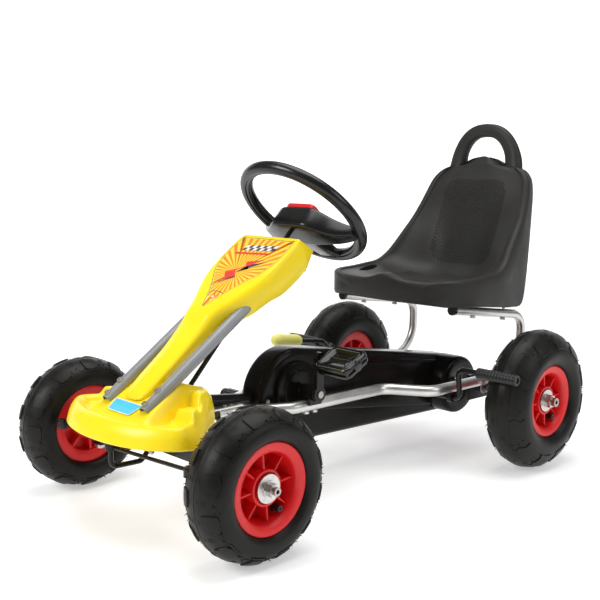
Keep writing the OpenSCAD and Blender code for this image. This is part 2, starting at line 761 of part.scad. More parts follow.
// the loop of link plates on both sides of the teeth, with rollers along its two straight runs
function belt_dir() = atan2(rear_z - crank_z, rear_y - crank_y);
function belt_gap() = norm([rear_y - crank_y, rear_z - crank_z]);
module belt(r1, r2) {
    turn = acos((r1 - r2) / belt_gap());
    translate([crank_y, crank_z]) circle(r = r1);
    translate([rear_y, rear_z]) circle(r = r2);
    polygon([for (c = [[crank_y, crank_z, r1, 1], [crank_y, crank_z, r1, -1],
                       [rear_y, rear_z, r2, -1], [rear_y, rear_z, r2, 1]])
        [c[0], c[1]] + (c[2] - dip) * [cos(belt_dir() + c[3] * turn), sin(belt_dir() + c[3] * turn)]]);
}
module chain() {
    r1 = chain_pitch / 2 / sin(180 / chainring_teeth);
    r2 = chain_pitch / 2 / sin(180 / sprocket_teeth);
    turn = acos((r1 - r2) / belt_gap());
    run = sqrt(pow(belt_gap(), 2) - pow(r1 - r2, 2));
    link_h = 8;
    plate_in = gear_t / 2 + 0.8;
    lead = [28, 24];     // straight chain left clear of the teeth at its two ends
    rollers = floor((run - lead[0] - lead[1]) / chain_pitch);
    color("#55575c") {
        for (x = [plate_in, -plate_in - 1.5]) translate([x, 0, 0]) rotate([90, 0, 90])
            linear_extrude(1.5) difference() {
                belt(r1 + link_h / 2, r2 + link_h / 2);
                belt(r1 - link_h / 2, r2 - link_h / 2);
            }
        for (k = [1, -1]) let (a = belt_dir() + k * turn, along = belt_dir() + k * (turn - 90))
            for (i = [0 : rollers])
                along_x(-plate_in - 0.5,
                        crank_y + r1 * cos(a) + (lead[0] + i * chain_pitch) * cos(along),
                        crank_z + r1 * sin(a) + (lead[0] + i * chain_pitch) * sin(along))
                    cylinder(h = 2 * plate_in + 1, d = 6);
    }
}

// ---------- chain cover ----------
// outline of the chain cover, drawn in by e
module cover_outline(e) {
    a = [cover_front[0], cover_front[1]];
    b = [cover_rear[0], cover_rear[1]];
    v = b - a;
    dir = atan2(v[1], v[0]);
    turn = acos((cover_front[2] - cover_rear[2]) / norm(v));
    translate(a) circle(r = cover_front[2] - e);
    translate(b) circle(r = cover_rear[2] - e);
    polygon([for (c = [[a, cover_front[2], 1], [a, cover_front[2], -1],
                       [b, cover_rear[2], -1], [b, cover_rear[2], 1]])
        c[0] + (c[1] - e - dip) * [cos(dir + c[2] * turn), sin(dir + c[2] * turn)]]);
}
cover_screw_spots = [[cover_front[0] - 68, cover_front[1]], [crank_y + 130, crank_z + 22],
                     [crank_y + 130, crank_z - 36], [rear_y - 72, rear_z + 6]];

// one half of the cover, drawn in by e all round
module cover_mass(drum, e) {
    out = cover_w / 2 - e;
    start = e > 0 ? -1 : 0;
    translate([start, 0, 0]) rotate([90, 0, 90]) linear_extrude(out - start) cover_outline(e);
    along_x(start, crank_y, crank_z) cylinder(h = out + boss_step[1] - start, r = boss_step[0] - e);
    along_x(start, crank_y, crank_z)
        cylinder(h = out + boss_step[1] + boss_top[1] - start, r = boss_top[0] - e);
    if (drum)
        difference() {
            along_x(start, rear_y, rear_z - 4) cylinder(h = drum_x - e - start, r = drum_r - e);
            translate([-5, rear_y - 80, drum_flat_z - 100 + e]) cube([drum_x + 10, 160, 100]);
        }
}
// the collars carry the cover on the crank's and the axle's bearing housings
module cover_half(drum) {
    boss_out = cover_w / 2 + boss_step[1] + boss_top[1] - cover_wall;
    drum_out = (drum ? drum_x : cover_w / 2) - cover_wall;
    crank_collar = crank_housing_x[0] - seat_gap;
    axle_collar = bracket_x - bearing_len - seat_gap;
    color("#1a1a1c") difference() {
        union() {
            difference() {
                cover_mass(drum, 0);
                cover_mass(drum, cover_wall);
            }
            along_x(boss_out, crank_y, crank_z) cylinder(h = crank_collar - boss_out, r = collar_r - 1);
            along_x(drum_out, rear_y, rear_z) cylinder(h = axle_collar - drum_out, r = collar_r);
            for (p = cover_screw_spots)
                along_x(gap / 2, p[0], p[1]) cylinder(h = cover_w / 2 - gap, d = 11);
        }
        along_x(-1, crank_y, crank_z) cylinder(h = 200, d = crank_axle_d + 2 * clear);
        along_x(-1, rear_y, rear_z) cylinder(h = 200, d = rear_axle_d + 2 * clear);
        along_x(-1, brake_y, brake_z) cylinder(h = 100, d = brake_rod_d + 2 * clear);
        for (p = cover_screw_spots) along_x(-1, p[0], p[1]) cylinder(h = 100, d = screw_d + 2 * seat_gap);
    }
}
module chain_cover_left() {
    cover_half(true);
}
module chain_cover_right() {
    mirror([1, 0, 0]) cover_half(false);
}
module cover_screws() {
    for (p = cover_screw_spots) color("#c9c9cc") {
        along_x(-cover_w / 2 + 2, p[0], p[1]) cylinder(h = cover_w - 2, d = screw_d);
        along_x(cover_w / 2, p[0], p[1]) cylinder(h = 2.5, d = 8);
    }
}

// ---------- chassis tubes ----------
beam_joint = 59;     // distance up the column to the beam's front end
beam_fall = 7;       // slope of the beam down towards the back, in degrees
module beam_line(d) {
    tip = column_at(beam_joint);
    run = cover_front[0] - cover_front[2] - 1 - tip[1];
    bar(tip, tip + [0, run, -run * tan(beam_fall)], d);
}
module main_beam() {
    color("#1b1b1d") difference() {
        beam_line(beam_d);
        beam_line(beam_d - 2 * beam_wall);
        on_column(0) cylinder(h = 200, d = head_tube_d + 2 * seat_gap);
    }
}

plate_t = 2.5;
plate_bolt_y = rail_front_y + 16;
// slotted fork plate that ties the beam to the front ends of the two rails
module rail_clamp_plate() {
    half = rail_x_front + 11;
    color("#c4c6ca") difference() {
        translate([-half, rail_front_y - 16, rail_z + rail_d / 2 + seat_gap])
            cube([2 * half, 62, plate_t]);
        beam_line(beam_d + 2 * seat_gap);
        both() translate([rail_x_front, plate_bolt_y, rail_z])
            cylinder(h = 30, d = bolt_d + 2 * seat_gap);
        both() translate([rail_x_front - 1, rail_front_y + 27, rail_z]) cube([6, 14, 30]);
    }
}

function rail_path() = [[rail_x_front, rail_front_y, rail_z], [rail_x_front, rail_front_y + 34, rail_z],
                        [rail_x_mid, crank_y - 38, rail_z], [rail_x_mid, flare_y, rail_z],
                        [rail_x_rear, flare_y + 50, rail_z], [rail_x_rear, rail_end_y, rail_z]];
module side_rail() {
    color("#c4c6ca") difference() {
        bent_tube(rail_path(), [0, 40, 40, 35, 35, 0], rail_d, rail_wall);
        for (y = saddle_bolts) translate([rail_x_mid, crank_y + y, 0])
            cylinder(h = 300, d = bolt_d + 2 * seat_gap);
        for (y = plate_bolts) along_x(bracket_x - 20, rear_y + y, rail_z)
            cylinder(h = 60, d = bolt_d + 2 * seat_gap);
        translate([rail_x_rear, flare_bolt_y, 0]) cylinder(h = 300, d = bolt_d + 2 * seat_gap);
        translate([rail_x_front, plate_bolt_y, 0]) cylinder(h = 300, d = bolt_d + 2 * seat_gap);
    }
}
module side_rail_left() {
    side_rail();
}
module side_rail_right() {
    mirror([1, 0, 0]) side_rail();
}

seat_bend_y = rear_y + 105.5;
function seat_tube_path() = [[rail_x_rear, rear_y + 8, rail_z], [rail_x_rear, seat_bend_y, rail_z],
    [rail_x_rear, seat_bend_y, 266.8], [rail_x_rear, rear_y - 122, 294]];
seat_tube_wall = 1.6;
module seat_tube() {
    color("#d6d8dc") difference() {
        bent_tube(seat_tube_path(), [0, 66, 34, 0], seat_tube_d, seat_tube_wall);
        along_x(bracket_x - 20, rear_y + plate_bolts[1], rail_z)
            cylinder(h = 60, d = bolt_d + 2 * seat_gap);
        for (y = seat_bolt_ys) seat_bolt_at(y) translate([0, 0, -40])
            cylinder(h = 80, d = bolt_d + 2 * seat_gap);
    }
}
module seat_tube_left() {
    seat_tube();
}
module seat_tube_right() {
    mirror([1, 0, 0]) seat_tube();
}
module tube_plugs() {
    p = seat_tube_path();
    u = unit(p[3] - p[2]);
    color("#141416") both() {
        bar(p[3] + u * seat_gap, p[3] + u * 6, seat_tube_d + 2);
        bar(p[3] - u * 12, p[3] + u * 1, seat_tube_d - 2 * seat_tube_wall - 2 * seat_gap);
    }
}

// the frame of a seat bolt: on the seat tubes' upper runs, square to them
seat_bolt_ys = [rear_y - 60, rear_y + 40];
module seat_bolt_at(y) {
    p = seat_tube_path();
    u = unit(p[3] - p[2]);
    q = p[3] + u * ((y - p[3][1]) / u[1]);
    translate(q) rotate([atan2(-u[2], -u[1]), 0, 0]) children();
}
module seat_bolts() {
    low = -seat_tube_d / 2 - seat_gap;
    color("#c9c9cc") both() for (y = seat_bolt_ys) seat_bolt_at(y) {
        translate([0, 0, low - 4]) cylinder(h = seat_tube_d + 14, d = bolt_d);
        translate([0, 0, low - bolt_head[1]]) hex(bolt_head[0], bolt_head[1]);
    }
}

// ---------- column struts ----------
strut_x = 48.5;
strut_d = 19;
strut_wall = 1.6;
strut_slope = 35.4;  // from level, in degrees
strut_z = 231.8;     // height of the struts' axes above the front axle
strut_end = -62.5;   // place of their lower ends, from the front axle
strut_screw_at = [8, 36];    // distances of the screws up from the lower ends
// a strut's own frame: +Z runs up the strut from its lower end and -Y faces out of it
module on_strut(t) {
    translate([strut_x, front_y + strut_end, strut_z + strut_end * tan(strut_slope)])
        rotate([strut_slope - 90, 0, 0]) translate([0, 0, t]) children();
}
module strut_tube() {
    color("#8f9296") difference() {
        on_strut(0) cylinder(h = 420, d = strut_d);
        on_strut(-1) cylinder(h = 422, d = strut_d - 2 * strut_wall);
        on_column(head_plate_s) translate([-100, -200, 0]) cube([200, 400, 200]);
        for (t = strut_screw_at) on_strut(t) rotate([-90, 0, 0]) translate([0, 0, -30])
            cylinder(h = 60, d = screw_d + 2 * seat_gap);
    }
}
screw_d = 4;
module column_strut_left() {
    strut_tube();
}
module column_strut_right() {
    mirror([1, 0, 0]) strut_tube();
}

// two screws through each strut into the nose
module strut_screws() {
    color("#d6d8dc") both() for (t = strut_screw_at) on_strut(t) rotate([-90, 0, 0]) {
        translate([0, 0, -strut_d / 2 - 2.4]) cylinder(h = strut_d + 8, d = screw_d);
        translate([0, 0, -strut_d / 2 - 2.4]) cylinder(h = 2.3, d = 9);
    }
}

head_plate = [128, 44];
// plate at the top of the struts that carries the steering shaft
module column_head_plate() {
    color("#1b1b1d") on_column(head_plate_s) difference() {
        translate([-head_plate[0] / 2, -head_plate[1] / 2, 0])
            cube([head_plate[0], head_plate[1], head_plate_t]);
        translate([0, 0, -1]) cylinder(h = head_plate_t + 2, d = bush_d + 2 * seat_gap);
    }
}

// ---------- nose ----------
nose_bottom = 148;
nose_ridge = 180;    // height of the lip round the tray
tray_z = 168;
nose_wall = 3;
block_w = 116;       // width of the block that the struts lie on
pod_w = 208;         // across the outer faces of the two side pods
// points of a quadratic curve from a to c, pulled towards b
function curve(a, b, c, n = 7) = [for (i = [0 : n]) let (t = i / n)
    a * (1 - t) * (1 - t) + b * 2 * t * (1 - t) + c * t * t];
function low_edge() = concat(curve([0, -123.5], [60, -123.5], [100, -110]),
                             curve([100, -110], [148, -92], [148, -40]), [[122, 34]]);
function ridge_edge() = concat(curve([0, -112.5], [56, -112.5], [94, -101]),
                               curve([94, -101], [146, -84], [128, -38]), [[88, 36]]);
function mirrored(p) = concat(p, [for (i = [len(p) - 1 : -1 : 1]) [-p[i][0], p[i][1]]]);
module nose_slab(edge, z, e) {
    translate([0, front_y, z]) linear_extrude(0.1) offset(delta = -e) polygon(mirrored(edge));
}
ramp = [[-52, 193.8], [-5, 222]];    // ends (y, z) of the block's ramp
// profile (y, z) of the block with its ramp, peak and rear box
function block_side() = [[-92, nose_bottom - 20], [-92, tray_z], ramp[0], ramp[1], [57, 201],
                         [68, 191], [71, 180], [71, nose_bottom - 20]];
function pod_side() = [[-52, nose_bottom - 20], [-52, tray_z - 2], [-38, 182], [-10, 189], [28, 183],
                       [38, 172], [40, nose_bottom - 20]];
module nose_profile(side, w, e) {
    translate([-w / 2 + e, front_y, 0]) rotate([90, 0, 90]) linear_extrude(w - 2 * e)
        offset(delta = -e) polygon(side);
}
module nose_fairing() {
    color("#ffe600") difference() {
        union() {
            difference() {
                hull() {
                    nose_slab(low_edge(), nose_bottom, 0);
                    nose_slab(ridge_edge(), nose_ridge - 0.1, 0);
                }
                hull() {
                    nose_slab(ridge_edge(), tray_z, 10);
                    nose_slab(ridge_edge(), nose_ridge + 1, 6);
                }
            }
            nose_profile(block_side(), block_w, 0);
            nose_profile(pod_side(), pod_w, 0);
        }
        hull() {
            nose_slab(low_edge(), nose_bottom - 1, nose_wall);
            nose_slab(ridge_edge(), tray_z - nose_wall, nose_wall + 6);
        }
        nose_profile(block_side(), block_w, nose_wall);
        nose_profile(pod_side(), pod_w, nose_wall);
        translate([-200, front_y - 200, nose_bottom - 40]) cube([400, 400, 40]);
        // channels under the struts, and holes for their screws
        both() on_strut(-30) cylinder(h = 200, d = strut_d + 2 * seat_gap);
        both() for (t = strut_screw_at) on_strut(t) rotate([-90, 0, 0])
            cylinder(h = 30, d = screw_d + 2 * seat_gap);
        // way out for the steering shaft at the top and for the beam at the back
        on_column(0) cylinder(h = 200, r = shaft_d / 2 + 3);
        translate([-beam_d / 2 - 3, front_y + 60, nose_bottom - 1])
            cube([beam_d + 6, 40, 190 - nose_bottom]);
    }
}

// bare plate on the ramp between the struts
module front_label() {
    rise = atan2(ramp[1][1] - ramp[0][1], ramp[1][0] - ramp[0][0]);
    color("#39b8ea") translate([0, front_y + ramp[0][0], ramp[0][1]]) rotate([rise, 0, 0])
        translate([0, -24, seat_gap])
        linear_extrude(1) intersection() {
            polygon([[-30, 0], [30, 0], [36, 22], [-36, 22]]);
            translate([-37, 1]) square([74, 20]);
        }
}

// ---------- column cover ----------
cover_slope = 40;    // lie of the column cover's plan, from level
panel = [[76.5, 321], [229, 431.5]]; // ends of its flat top face (y, z)
// profile (y, z) from the front axle
function cover_side() = [[-52, 196], [-5, 224], [45.5, 262], [130, 320], [150, 336], [186, 352],
                         [254, 392], [271, 409], panel[1], panel[0], [-28, 216], [-44, 209], [-51, 202]];
// half outline across the kart (x) and up the cover (y)
function cover_plan() = concat(curve([0, 0], [24, 0], [24, 24]),
                               curve([24, 178], [25, 228], [50, 253]),
                               curve([50, 253], [72, 274], [75, 320]),
                               curve([75, 320], [76, 352], [60, 388]));
module cover_body(drop, e) {
    intersection() {
        translate([-100, front_y, 0]) rotate([90, 0, 90]) linear_extrude(200)
            translate([drop * sin(cover_slope), -drop * cos(cover_slope)]) polygon(cover_side());
        translate([0, front_y - 52, 195]) rotate([cover_slope, 0, 0]) translate([0, 0, -120])
            linear_extrude(240) offset(delta = -e) polygon(concat(mirrored(cover_plan())));
    }
}
module column_cover() {
    color("#ffe600") difference() {
        union() {
            difference() {
                cover_body(0, 0);
                cover_body(nose_wall, nose_wall);
            }
            intersection() {
                cover_body(0.5, 0.5);
                both() on_column(head_plate_s + head_plate_t)
                    translate([head_plate[0] / 2 - 10, 0, 0]) cylinder(h = 80, r = 6);
            }
        }
        on_column(0) cylinder(h = 420, r = shaft_d / 2 + 4);
        both() on_strut(0) cylinder(h = 420, d = strut_d + 2 * clear);
    }
}

// printed panel on the head of the cover
module decal_panel() {
    rise = atan2(panel[1][1] - panel[0][1], panel[1][0] - panel[0][0]);
    color("#f7b500") translate([0, front_y + panel[0][0], panel[0][1]]) rotate([rise, 0, 0])
        translate([0, 0, seat_gap]) linear_extrude(0.8)
            polygon(mirrored(concat([[0, 8]], curve([20, 42], [40, 50], [64, 92]),
                                    curve([64, 92], [74, 140], [63, 182]))));
}

// ---------- seat ----------
lip_z = 350;         // height of the seat's front edge
// the seat's sheet (y, z), from its front edge back over the pan and up to its top
function seat_face() = concat([[-163, 318], [-160, 342], [-150, lip_z - 8]], [[-110, 338], [40, 332]],
                              curve([40, 332], [98, 330], [112, 400]), [[134, 500], [144, 585]]);
function seat_back_face() = concat([[150, 584], [140, 499]], curve([118, 398], [103, 324], [40, 326]),
                                   [[-110, 332], [-146, 336], [-157, 318]]);
// the outline of its sides, seen from the left
function seat_side() = concat([[-163, 318], [-162, lip_z - 6], [-154, lip_z]], [[-40, 346], [20, 352]],
                              curve([20, 352], [70, 372], [92, 440]),
                              curve([92, 440], [108, 520], [122, 585]),
                              [[160, 585], [163, 520], [152, 400], [140, 310], [128, 284]],
                              [[107, 286], [-33, 306], [-121, 303]]);
module seat_sides(e) {
    rotate([90, 0, 0]) translate([0, 0, -rear_y - 200]) linear_extrude(600)
        polygon(mirrored([[0, 280], [pan_w / 2 - 22 - e, 280], [pan_w / 2 - e, 318], [pan_w / 2 - e, 352],
            [144 - e, 400], [134 - e, 460], [124 - e, shoulder_z - 8], [100 - e, shoulder_z + 26 - e],
            [80 - e, 560 - e], [44, 582 - e]]));
}
handle_y = rear_y + 158.5;
module seat() {
    r = handle_d / 2;
    color("#1e1e20") difference() {
        union() {
            intersection() {
                translate([-200, rear_y, 0]) rotate([90, 0, 90]) linear_extrude(400)
                    polygon(concat(seat_face(), seat_back_face()));
                seat_sides(0);
            }
            intersection() {
                translate([-200, rear_y, 0]) rotate([90, 0, 90]) linear_extrude(400) polygon(seat_side());
                difference() {
                    seat_sides(0);
                    seat_sides(10);
                }
            }
            bent_bar([[-86 + r, handle_y - 12, 545], [-86 + r, handle_y, handle_z - r],
                      [86 - r, handle_y, handle_z - r], [86 - r, handle_y - 12, 545]],
                     [0, 58, 58, 0], handle_d);
            // feet on the seat tubes
            both() for (y = seat_bolt_ys) seat_bolt_at(y)
                translate([0, 0, seat_tube_d / 2 + seat_gap]) cylinder(h = 34, r = 12);
        }
        both() for (y = seat_bolt_ys) seat_bolt_at(y) cylinder(h = 24, d = bolt_d + 2 * seat_gap);
    }
}

// ---------- brake ----------
// eyes welded under the rails for the brake's cross shaft
module brake_hangers() {
    color("#1b1b1d") both() difference() {
        union() {
            along_x(rail_x_rear - 5, brake_y, brake_z) cylinder(h = 10, r = 9);
            translate([rail_x_rear - 5, brake_y - 9, brake_z]) cube([10, 18, rail_z - brake_z]);
        }
        along_x(rail_x_rear - 6, brake_y, brake_z) cylinder(h = 12, d = brake_rod_d + 2 * fit);
        translate([rail_x_rear, brake_y - 40, rail_z]) rotate([-90, 0, 0])
            cylinder(h = 80, d = rail_d + 2 * seat_gap);
    }
}
lever_knee = [-150, brake_y - 50, brake_z + 71];
lever_end = [-150, brake_y - 130, brake_z + 81];
module brake_rod() {
    tip = rear_track / 2 + rear_tyre_w / 2 - 4;
    color("#1b1b1d") {
        bent_bar([[-tip, pad_y, pad_z], [-brake_arm_x, pad_y, pad_z], [-brake_arm_x, brake_y, brake_z],
                  [brake_arm_x, brake_y, brake_z], [brake_arm_x, pad_y, pad_z], [tip, pad_y, pad_z]],
                 [0, 14, 14, 14, 14, 0], brake_rod_d);
        bent_bar([[-brake_arm_x, (pad_y + brake_y) / 2, (pad_z + brake_z) / 2 + 8], lever_knee, lever_end],
                 [0, 14, 0], brake_rod_d - 1);
    }
}
module brake_pads() {
    inner = rear_track / 2 - rear_tyre_w / 2 + 2;
    color("#151517") both() difference() {
        along_x(inner, pad_y, pad_z) cylinder(h = rear_tyre_w - 4, d = pad_d);
        along_x(inner - 1, pad_y, pad_z) cylinder(h = rear_tyre_w - 4, d = brake_rod_d + 2 * seat_gap);
    }
}
grip_back = 14;      // how far the grip reaches back over the lever's end
grip_l = 74;
module brake_grip() {
    u = unit(lever_end - lever_knee);
    r = grip_d / 2;
    color("#e8dc3c") difference() {
        aim(lever_end - u * grip_back, lever_end + u * grip_l) rotate_extrude()
            polygon([[0, 0], [r - 2, 0], [r, 8], [r, grip_l - 14], [r - 3, grip_l - 5],
                     [r - 8, grip_l - 1], [0, grip_l]]);
        bar(lever_end - u * (grip_back + 1), lever_end + u * seat_gap, brake_rod_d - 1 + 2 * seat_gap);
    }
}

front_axle();
kingpins();
steering_bushes();
main_beam();
rail_clamp_plate();
side_rail_left();
side_rail_right();
column_strut_left();
column_strut_right();
strut_screws();
column_head_plate();
nose_fairing();
column_cover();
decal_panel();
front_label();
crank_bearing_brackets();
bearing_bushes();
frame_bolts();
chain_cover_left();
chain_cover_right();
cover_screws();
chain();
rear_bearing_brackets();
seat_tube_left();
seat_tube_right();
tube_plugs();
seat();
seat_bolts();
brake_hangers();
steering_shaft();
steering_wheel();
steering_wheel_cap();
knuckle_left();
knuckle_right();
front_hub_nuts_left();
front_hub_nuts_right();
tie_rod_left();
tie_rod_right();
front_tyre_left();
front_tyre_right();
front_rim_left();
front_rim_right();
front_inner_tube_left();
front_inner_tube_right();
front_bushes_left();
front_bushes_right();
rear_axle();
rear_sprocket();
rear_tyres();
rear_rims();
rear_inner_tubes();
rear_hub_nuts();
crank_axle();
chainring();
crank_arms();
pedal_left();
pedal_right();
brake_rod();
brake_pads();
brake_grip();
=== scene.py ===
import json
import math
import bmesh
import bpy
from mathutils import Matrix, Vector
from mathutils.bvhtree import BVHTree


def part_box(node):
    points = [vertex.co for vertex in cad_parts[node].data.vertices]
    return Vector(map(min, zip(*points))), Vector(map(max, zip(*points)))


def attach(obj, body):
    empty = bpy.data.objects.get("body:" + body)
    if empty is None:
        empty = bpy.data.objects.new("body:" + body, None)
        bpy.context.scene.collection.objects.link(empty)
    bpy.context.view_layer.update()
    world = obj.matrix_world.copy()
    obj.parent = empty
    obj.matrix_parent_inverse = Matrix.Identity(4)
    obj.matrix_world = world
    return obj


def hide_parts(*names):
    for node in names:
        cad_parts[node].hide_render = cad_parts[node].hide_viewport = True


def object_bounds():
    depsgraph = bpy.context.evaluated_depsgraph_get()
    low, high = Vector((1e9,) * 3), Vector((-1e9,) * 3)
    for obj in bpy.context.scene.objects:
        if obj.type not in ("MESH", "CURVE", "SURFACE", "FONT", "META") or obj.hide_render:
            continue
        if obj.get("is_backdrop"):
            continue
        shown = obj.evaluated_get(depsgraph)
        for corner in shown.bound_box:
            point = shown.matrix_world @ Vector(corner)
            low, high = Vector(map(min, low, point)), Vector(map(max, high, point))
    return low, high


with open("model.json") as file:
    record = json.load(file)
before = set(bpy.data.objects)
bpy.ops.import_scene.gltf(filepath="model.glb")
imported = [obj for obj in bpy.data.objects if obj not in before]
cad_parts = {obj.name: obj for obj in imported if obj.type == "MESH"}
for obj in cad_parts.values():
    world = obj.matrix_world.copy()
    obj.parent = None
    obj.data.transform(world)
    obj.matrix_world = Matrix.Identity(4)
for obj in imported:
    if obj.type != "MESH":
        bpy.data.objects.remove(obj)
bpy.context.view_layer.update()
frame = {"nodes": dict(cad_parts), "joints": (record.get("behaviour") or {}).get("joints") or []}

mm = 0.001
scene = bpy.context.scene
scene.view_settings.view_transform = "Standard"
jointAt = {joint["name"]: Vector(joint["pos_m"]) for joint in frame["joints"]}
frontHub, crankAt = jointAt["front_wheel_left_spin"], jointAt["crank_spin"]
rearTyreWidth = 0.086
rearHub = Vector((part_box("rear_tyres")[1].x - rearTyreWidth / 2, *jointAt["rear_axle_spin"].yz))
columnFoot = jointAt["steering_turn"]
columnWay = Vector(next(j["axis"] for j in frame["joints"] if j["name"] == "steering_turn"))
sides = (("Left", 1), ("Right", -1))


# places: millimetres, with y counted from the front or the rear axle
def fromFront(x, y, z):
    return Vector((x * mm, frontHub.y + y * mm, z * mm))


def fromRear(x, y, z):
    return Vector((x * mm, rearHub.y + y * mm, z * mm))


def millimetres(x, y, z):
    return Vector((x, y, z)) * mm


def smoothStep(low, high, value):
    t = min(max((value - low) / (high - low), 0.0), 1.0)
    return t * t * (3 - 2 * t)


def along(table, value):  # linear reading of a table of (position, value) pairs
    for (a, u), (b, v) in zip(table, table[1:]):
        if value <= b:
            return u + (v - u) * min(max((value - a) / (b - a), 0.0), 1.0)
    return table[-1][1]


def curveThrough(points, steps, closed=False):  # Catmull-Rom, steps points from each point to the next
    points = [Vector(p) for p in points]
    count = len(points)
    line = []
    for i in range(count if closed else count - 1):
        if closed:
            a, b, c, d = (points[(i + k - 1) % count] for k in range(4))
        else:
            b, c = points[i], points[i + 1]
            a = points[i - 1] if i else b * 2 - c
            d = points[i + 2] if i + 2 < count else c * 2 - b
        for t in (k / steps for k in range(steps)):
            line.append(0.5 * (2 * b + (c - a) * t + (2 * a - 5 * b + 4 * c - d) * t * t
                               + (3 * b - a - 3 * c + d) * t ** 3))
    return line if closed else line + [points[-1]]


def throughRings(rings, steps):  # more rings between those given, on a smooth run
    lines = [curveThrough([ring[k] for ring in rings], steps) for k in range(len(rings[0]))]
    return [[line[i] for line in lines] for i in range(len(lines[0]))]


def bothHalves(half):  # closed line from its +x half, which starts and ends in the middle
    return half + [Vector((-p.x, p.y, p.z)) for p in half[-2:0:-1]]


def circle(count, shift=0):  # cosine and sine of evenly spaced turns
    return [(math.cos(a), math.sin(a)) for a in (2 * math.pi * (k + shift) / count for k in range(count))]


def roundRect(halfA, halfB, corner, count=5):
    points = []
    for k, (sa, sb) in enumerate(((1, 1), (-1, 1), (-1, -1), (1, -1))):
        for i in range(count + 1):
            a = math.pi / 2 * (k + i / count)
            points.append(((halfA - corner) * sa + corner * math.cos(a),
                           (halfB - corner) * sb + corner * math.sin(a)))
    return points


# meshes
def loft(bm, rings, closeRing=True, wrap=False, capStart=False, capEnd=False):
    made = [[bm.verts.new(p) for p in ring] for ring in rings]
    for a, b in list(zip(made, made[1:])) + ([(made[-1], made[0])] if wrap else []):
        for i in range(len(a) if closeRing else len(a) - 1):
            j = (i + 1) % len(a)
            bm.faces.new((a[i], a[j], b[j], b[i]))
    for ring, capped in ((made[0], capStart), (made[-1], capEnd)):
        if capped:
            bm.faces.new(ring)


def meshFrom(bm, weld=1e-5):
    if weld:
        bmesh.ops.remove_doubles(bm, verts=bm.verts, dist=weld)
    bmesh.ops.recalc_face_normals(bm, faces=bm.faces)
    mesh = bpy.data.meshes.new("part")
    bm.to_mesh(mesh)
    bm.free()
    return mesh


def solid(rings, weld=1e-5, wrap=False):  # closed mesh through rings of points
    bm = bmesh.new()
    loft(bm, rings, wrap=wrap, capStart=not wrap, capEnd=not wrap)
    return meshFrom(bm, weld)


def joined(*meshes):
    bm = bmesh.new()
    for mesh in meshes:
        bm.from_mesh(mesh)
    return meshFrom(bm, weld=0)


def turned(profile, steps):  # closed outline of (along, radius) pairs turned about its own X axis
    return [[millimetres(x, r * c, r * s) for x, r in profile] for c, s in circle(steps)]


def looseObject(name, mesh):
    piece = bpy.data.objects.new(name, mesh)
    scene.collection.objects.link(piece)
    return piece


def taken(piece):  # a loose object's mesh with its modifiers worked in; the object goes
    mesh = bpy.data.meshes.new_from_object(piece.evaluated_get(bpy.context.evaluated_depsgraph_get()))
    bpy.data.objects.remove(piece)
    return mesh


def walled(mesh, wall):  # a shell given a wall on its inner side
    piece = looseObject("shell", mesh)
    step = piece.modifiers.new("wall", "SOLIDIFY")
    step.thickness, step.offset = wall * mm, -1
    return taken(piece)


def cutOut(mesh, cutter):
    piece, tool = looseObject("body", mesh), looseObject("cutter", cutter)
    step = piece.modifiers.new("cut", "BOOLEAN")
    step.operation, step.solver, step.object = "DIFFERENCE", "EXACT", tool
    mesh = taken(piece)
    bpy.data.objects.remove(tool)
    return mesh


def dress(piece, material, sharp):
    piece.data.materials.clear()
    piece.data.materials.append(material)
    piece.data.shade_smooth()
    piece.data.set_sharp_from_angle(angle=math.radians(sharp))


def addPiece(name, mesh, finish, body, node, sharp=35):  # for one CAD node; its finish also names the slot
    piece = looseObject(name, mesh)
    dress(piece, paint[finish], sharp)
    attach(piece, body)
    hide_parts(node)


# node trees
def wire(tree, kinds, links, made=()):
    # adds nodes and joins them: small-letter settings belong to the node itself, the others to its inputs
    made = dict(made)
    for name, (kind, settings) in kinds.items():
        made[name] = node = tree.nodes.new(kind)
        for key, value in settings.items():
            if str(key).islower():
                setattr(node, key, value)
            else:
                node.inputs[key].default_value = value
    for source, output, target, into in links:
        tree.links.new(made[source].outputs[output], made[target].inputs[into])
    return made


def copiesTree(name, inputs, kinds, links):  # copies of a shape, made real and given their finish
    tree = bpy.data.node_groups.new(name, "GeometryNodeTree")
    socket = tree.interface.new_socket
    socket("Geometry", in_out="INPUT", socket_type="NodeSocketGeometry")
    keys = {key: socket(key, in_out="INPUT", socket_type="NodeSocket" + kind).identifier
            for key, kind in (*inputs.items(), ("Finish", "Material"))}
    socket("Geometry", in_out="OUTPUT", socket_type="NodeSocketGeometry")
    ends = {"start": ("NodeGroupInput", {}), "end": ("NodeGroupOutput", {}),
            "copy": ("GeometryNodeInstanceOnPoints", {}), "real": ("GeometryNodeRealizeInstances", {}),
            "paint": ("GeometryNodeSetMaterial", {})}
    wire(tree, {**ends, **kinds}, links + [
        ("copy", 0, "real", 0), ("real", 0, "paint", "Geometry"), ("start", "Finish", "paint", "Material"),
        ("paint", 0, "end", 0)])
    return tree, keys


